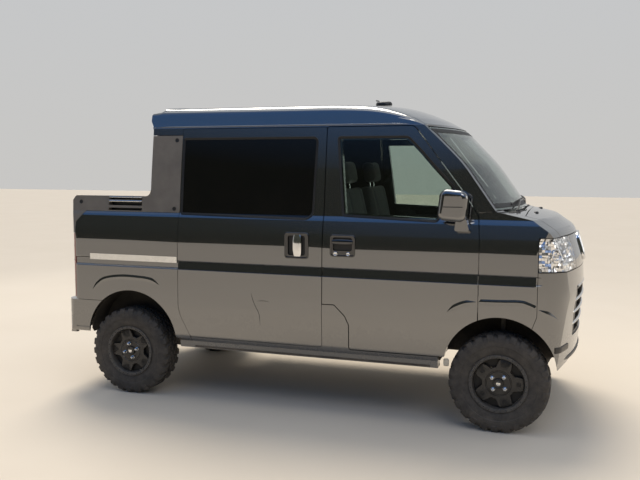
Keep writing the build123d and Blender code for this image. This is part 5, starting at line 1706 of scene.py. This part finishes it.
def make_bed_details():
    """Pressed floor ribs, tie hooks, and the tailgate's bezel and grip."""
    ribs = Mesh()
    low, high = node_box("bed_floor")
    x0, x1, top = low.x + 26, high.x - 26, high.z
    for index in range(BED_RIBS):
        y = -468 + index * BED_RIB_PITCH
        rings = []
        for x, grow in ((x0, 0.5), (x0 + 10, 1.0), (x1 - 10, 1.0), (x1, 0.5)):
            rings.append([(x, y - 22 * grow, top - 0.5), (x, y - 15 * grow, top + 3.2 * grow),
                          (x, y + 15 * grow, top + 3.2 * grow), (x, y + 22 * grow, top - 0.5)])
        ribs.rings(rings)
    ribs.piece("bed_ribs", "body", "bed_lining", 40)
    hooks = Mesh()
    for x in (-2360, -2560, -2760):
        base = Vector((AXLE + x, -652, 1180))
        bends = ((-24, 0, 16), (-24, 16, 10), (-16, 20, -14), (16, 20, -14), (24, 16, 10), (24, 0, 16))
        hooks.tube([base + Vector(bend) for bend in bends], 4.5, 8)
    both(hooks, "tie_hooks", "body", "grille_black", 50)
    land = rear_land("tailgate")
    outline = dense(rounded([(-92, 1038, 16), (92, 1038, 16), (92, 1112, 16), (-92, 1112, 16)]), 14)
    bezel = laid_band(land, outline, ((-9, -1), (-9, 2), (-5, 4), (0, 3.4), (2, 1.5), (2, -1)))
    bezel.piece("tailgate_bezel", "tailgate", "grille_black", 50)
    rings = []
    for step in range(11):
        share = step / 10
        y = -84 + 168 * share
        at = land(y, GRIP_HEIGHT, 0)
        rings.append([(at.x - 6 - 5 * sin(pi * share) - 5 * sin(turn), y, GRIP_HEIGHT + 14 * cos(turn))
                      for turn in turns(12)])
    skin(rings).piece("tailgate_grip", "tailgate", "body_paint", 50)


make_seats()
make_door_cards()
make_dashboard()
make_bed_details()


# Camera, floor and light

CAMERA_PLACE = (1.6268, -5.130, 1.5288)
CAMERA_YAW = radians(-18.50)
CAMERA_PITCH = radians(-5.34)
CAMERA_ROLL = radians(0.20)
CAMERA_LENS = 42.9
SENSOR_WIDTH = 36.0
FLOOR_REACH = 40


def make_camera():
    """Camera where the photographer stood, solved from the wheelbase."""
    data = bpy.data.cameras.new("camera")
    data.lens = CAMERA_LENS
    data.sensor_width = SENSOR_WIDTH
    data.sensor_fit = "HORIZONTAL"
    data.clip_end = 200
    camera = bpy.data.objects.new("camera", data)
    bpy.context.scene.collection.objects.link(camera)
    flat = cos(CAMERA_PITCH)
    ahead = Vector((sin(CAMERA_YAW) * flat, cos(CAMERA_YAW) * flat, sin(CAMERA_PITCH)))
    level = Vector((cos(CAMERA_YAW), -sin(CAMERA_YAW), 0))
    above = level.cross(ahead)
    right = level * cos(CAMERA_ROLL) + above * sin(CAMERA_ROLL)
    up = above * cos(CAMERA_ROLL) - level * sin(CAMERA_ROLL)
    turn = Matrix((right, up, -ahead)).transposed().to_4x4()
    camera.matrix_world = Matrix.Translation(CAMERA_PLACE) @ turn
    bpy.context.scene.camera = camera


def make_floor():
    """Pale plain floor with a faint mottle."""
    material, graph, shader = new_material("studio floor", roughness=0.75, specular_ior_level=0.2)
    tone = graph.noise(graph.place(), 0.8, 4.0, 0.6)
    graph.feed(shader, base_color=graph.blend(tone, (0.66, 0.57, 0.45, 1), (0.72, 0.63, 0.51, 1)))
    reach = FLOOR_REACH
    mesh = bpy.data.meshes.new("studio_floor")
    mesh.from_pydata([(-reach, -reach, 0), (reach, -reach, 0), (reach, reach, 0), (-reach, reach, 0)], [],
                     [(0, 1, 2, 3)])
    mesh.materials.append(material)
    piece = bpy.data.objects.new("studio_floor", mesh)
    bpy.context.scene.collection.objects.link(piece)


WORLD_STRENGTH = 0.72


def make_world():
    """Soft surround: pale round the truck and overhead, darker with blue above on the camera's side."""
    world = bpy.data.worlds.new("studio")
    world.use_nodes = True
    bpy.context.scene.world = world
    graph = Graph(world.node_tree)
    direction = graph.add("ShaderNodeTexCoord").outputs["Generated"]
    up = graph.part(direction, "Z")
    pale = graph.ramp(up, (0.0, (0.8, 0.79, 0.77)), (0.2, (0.78, 0.79, 0.8)), (1.0, (0.56, 0.66, 0.8)))
    shaded = graph.ramp(up, (0.0, (0.06, 0.062, 0.05)), (0.24, (0.09, 0.095, 0.075)),
                        (0.36, (0.16, 0.34, 0.72)), (1.0, (0.12, 0.32, 0.8)))
    behind = graph.math("MULTIPLY", graph.part(direction, "Y"), -1.0)
    away = graph.ramp(behind, (0.1, 0.0), (0.62, 1.0), smooth=True)
    background = world.node_tree.nodes["Background"]
    graph.feed(background, color=graph.blend(away, pale, shaded), strength=WORLD_STRENGTH)


LAMPS = (
    # name, place, aim, width, height, watts, colour
    ("key", (3.2, -4.6, 5.2), (0.0, 0.0, 0.8), 3.0, 2.2, 60, (1.0, 0.95, 0.88)),
    ("overhead", (-0.2, -0.6, 6.0), (0.0, 0.0, 0.0), 6.0, 4.0, 60, (1.0, 0.98, 0.95)),
    ("rear_fill", (-5.5, 3.0, 3.2), (0.0, 0.0, 0.9), 2.6, 2.6, 25, (1.0, 0.98, 0.95)),
    ("front_fill", (6.0, 1.5, 2.4), (0.8, 0.0, 0.9), 2.4, 2.0, 35, (1.0, 0.98, 0.95)),
)


def make_lamps():
    """Large soft studio lamps."""
    for name, place, aim, width, height, watts, colour in LAMPS:
        data = bpy.data.lights.new(name, "AREA")
        data.shape = "RECTANGLE"
        data.size = width
        data.size_y = height
        data.energy = watts
        data.color = colour
        lamp = bpy.data.objects.new(name, data)
        bpy.context.scene.collection.objects.link(lamp)
        lamp.location = place
        lamp.rotation_mode = "QUATERNION"
        lamp.rotation_quaternion = (Vector(aim) - Vector(place)).to_track_quat("-Z", "Y")


SUN_TURN = (radians(-28), radians(-16), 0)
SUN_SPREAD = radians(30)
SUN_STRENGTH = 2.6


def make_sun():
    """Broad soft light from above and behind, even over the whole floor."""
    data = bpy.data.lights.new("broad_light", "SUN")
    data.energy = SUN_STRENGTH
    data.angle = SUN_SPREAD
    data.color = (1.0, 0.93, 0.83)
    sun = bpy.data.objects.new("broad_light", data)
    bpy.context.scene.collection.objects.link(sun)
    sun.rotation_euler = SUN_TURN


make_camera()
make_floor()
make_world()
make_lamps()
make_sun()
bpy.context.scene.view_settings.view_transform = "Standard"
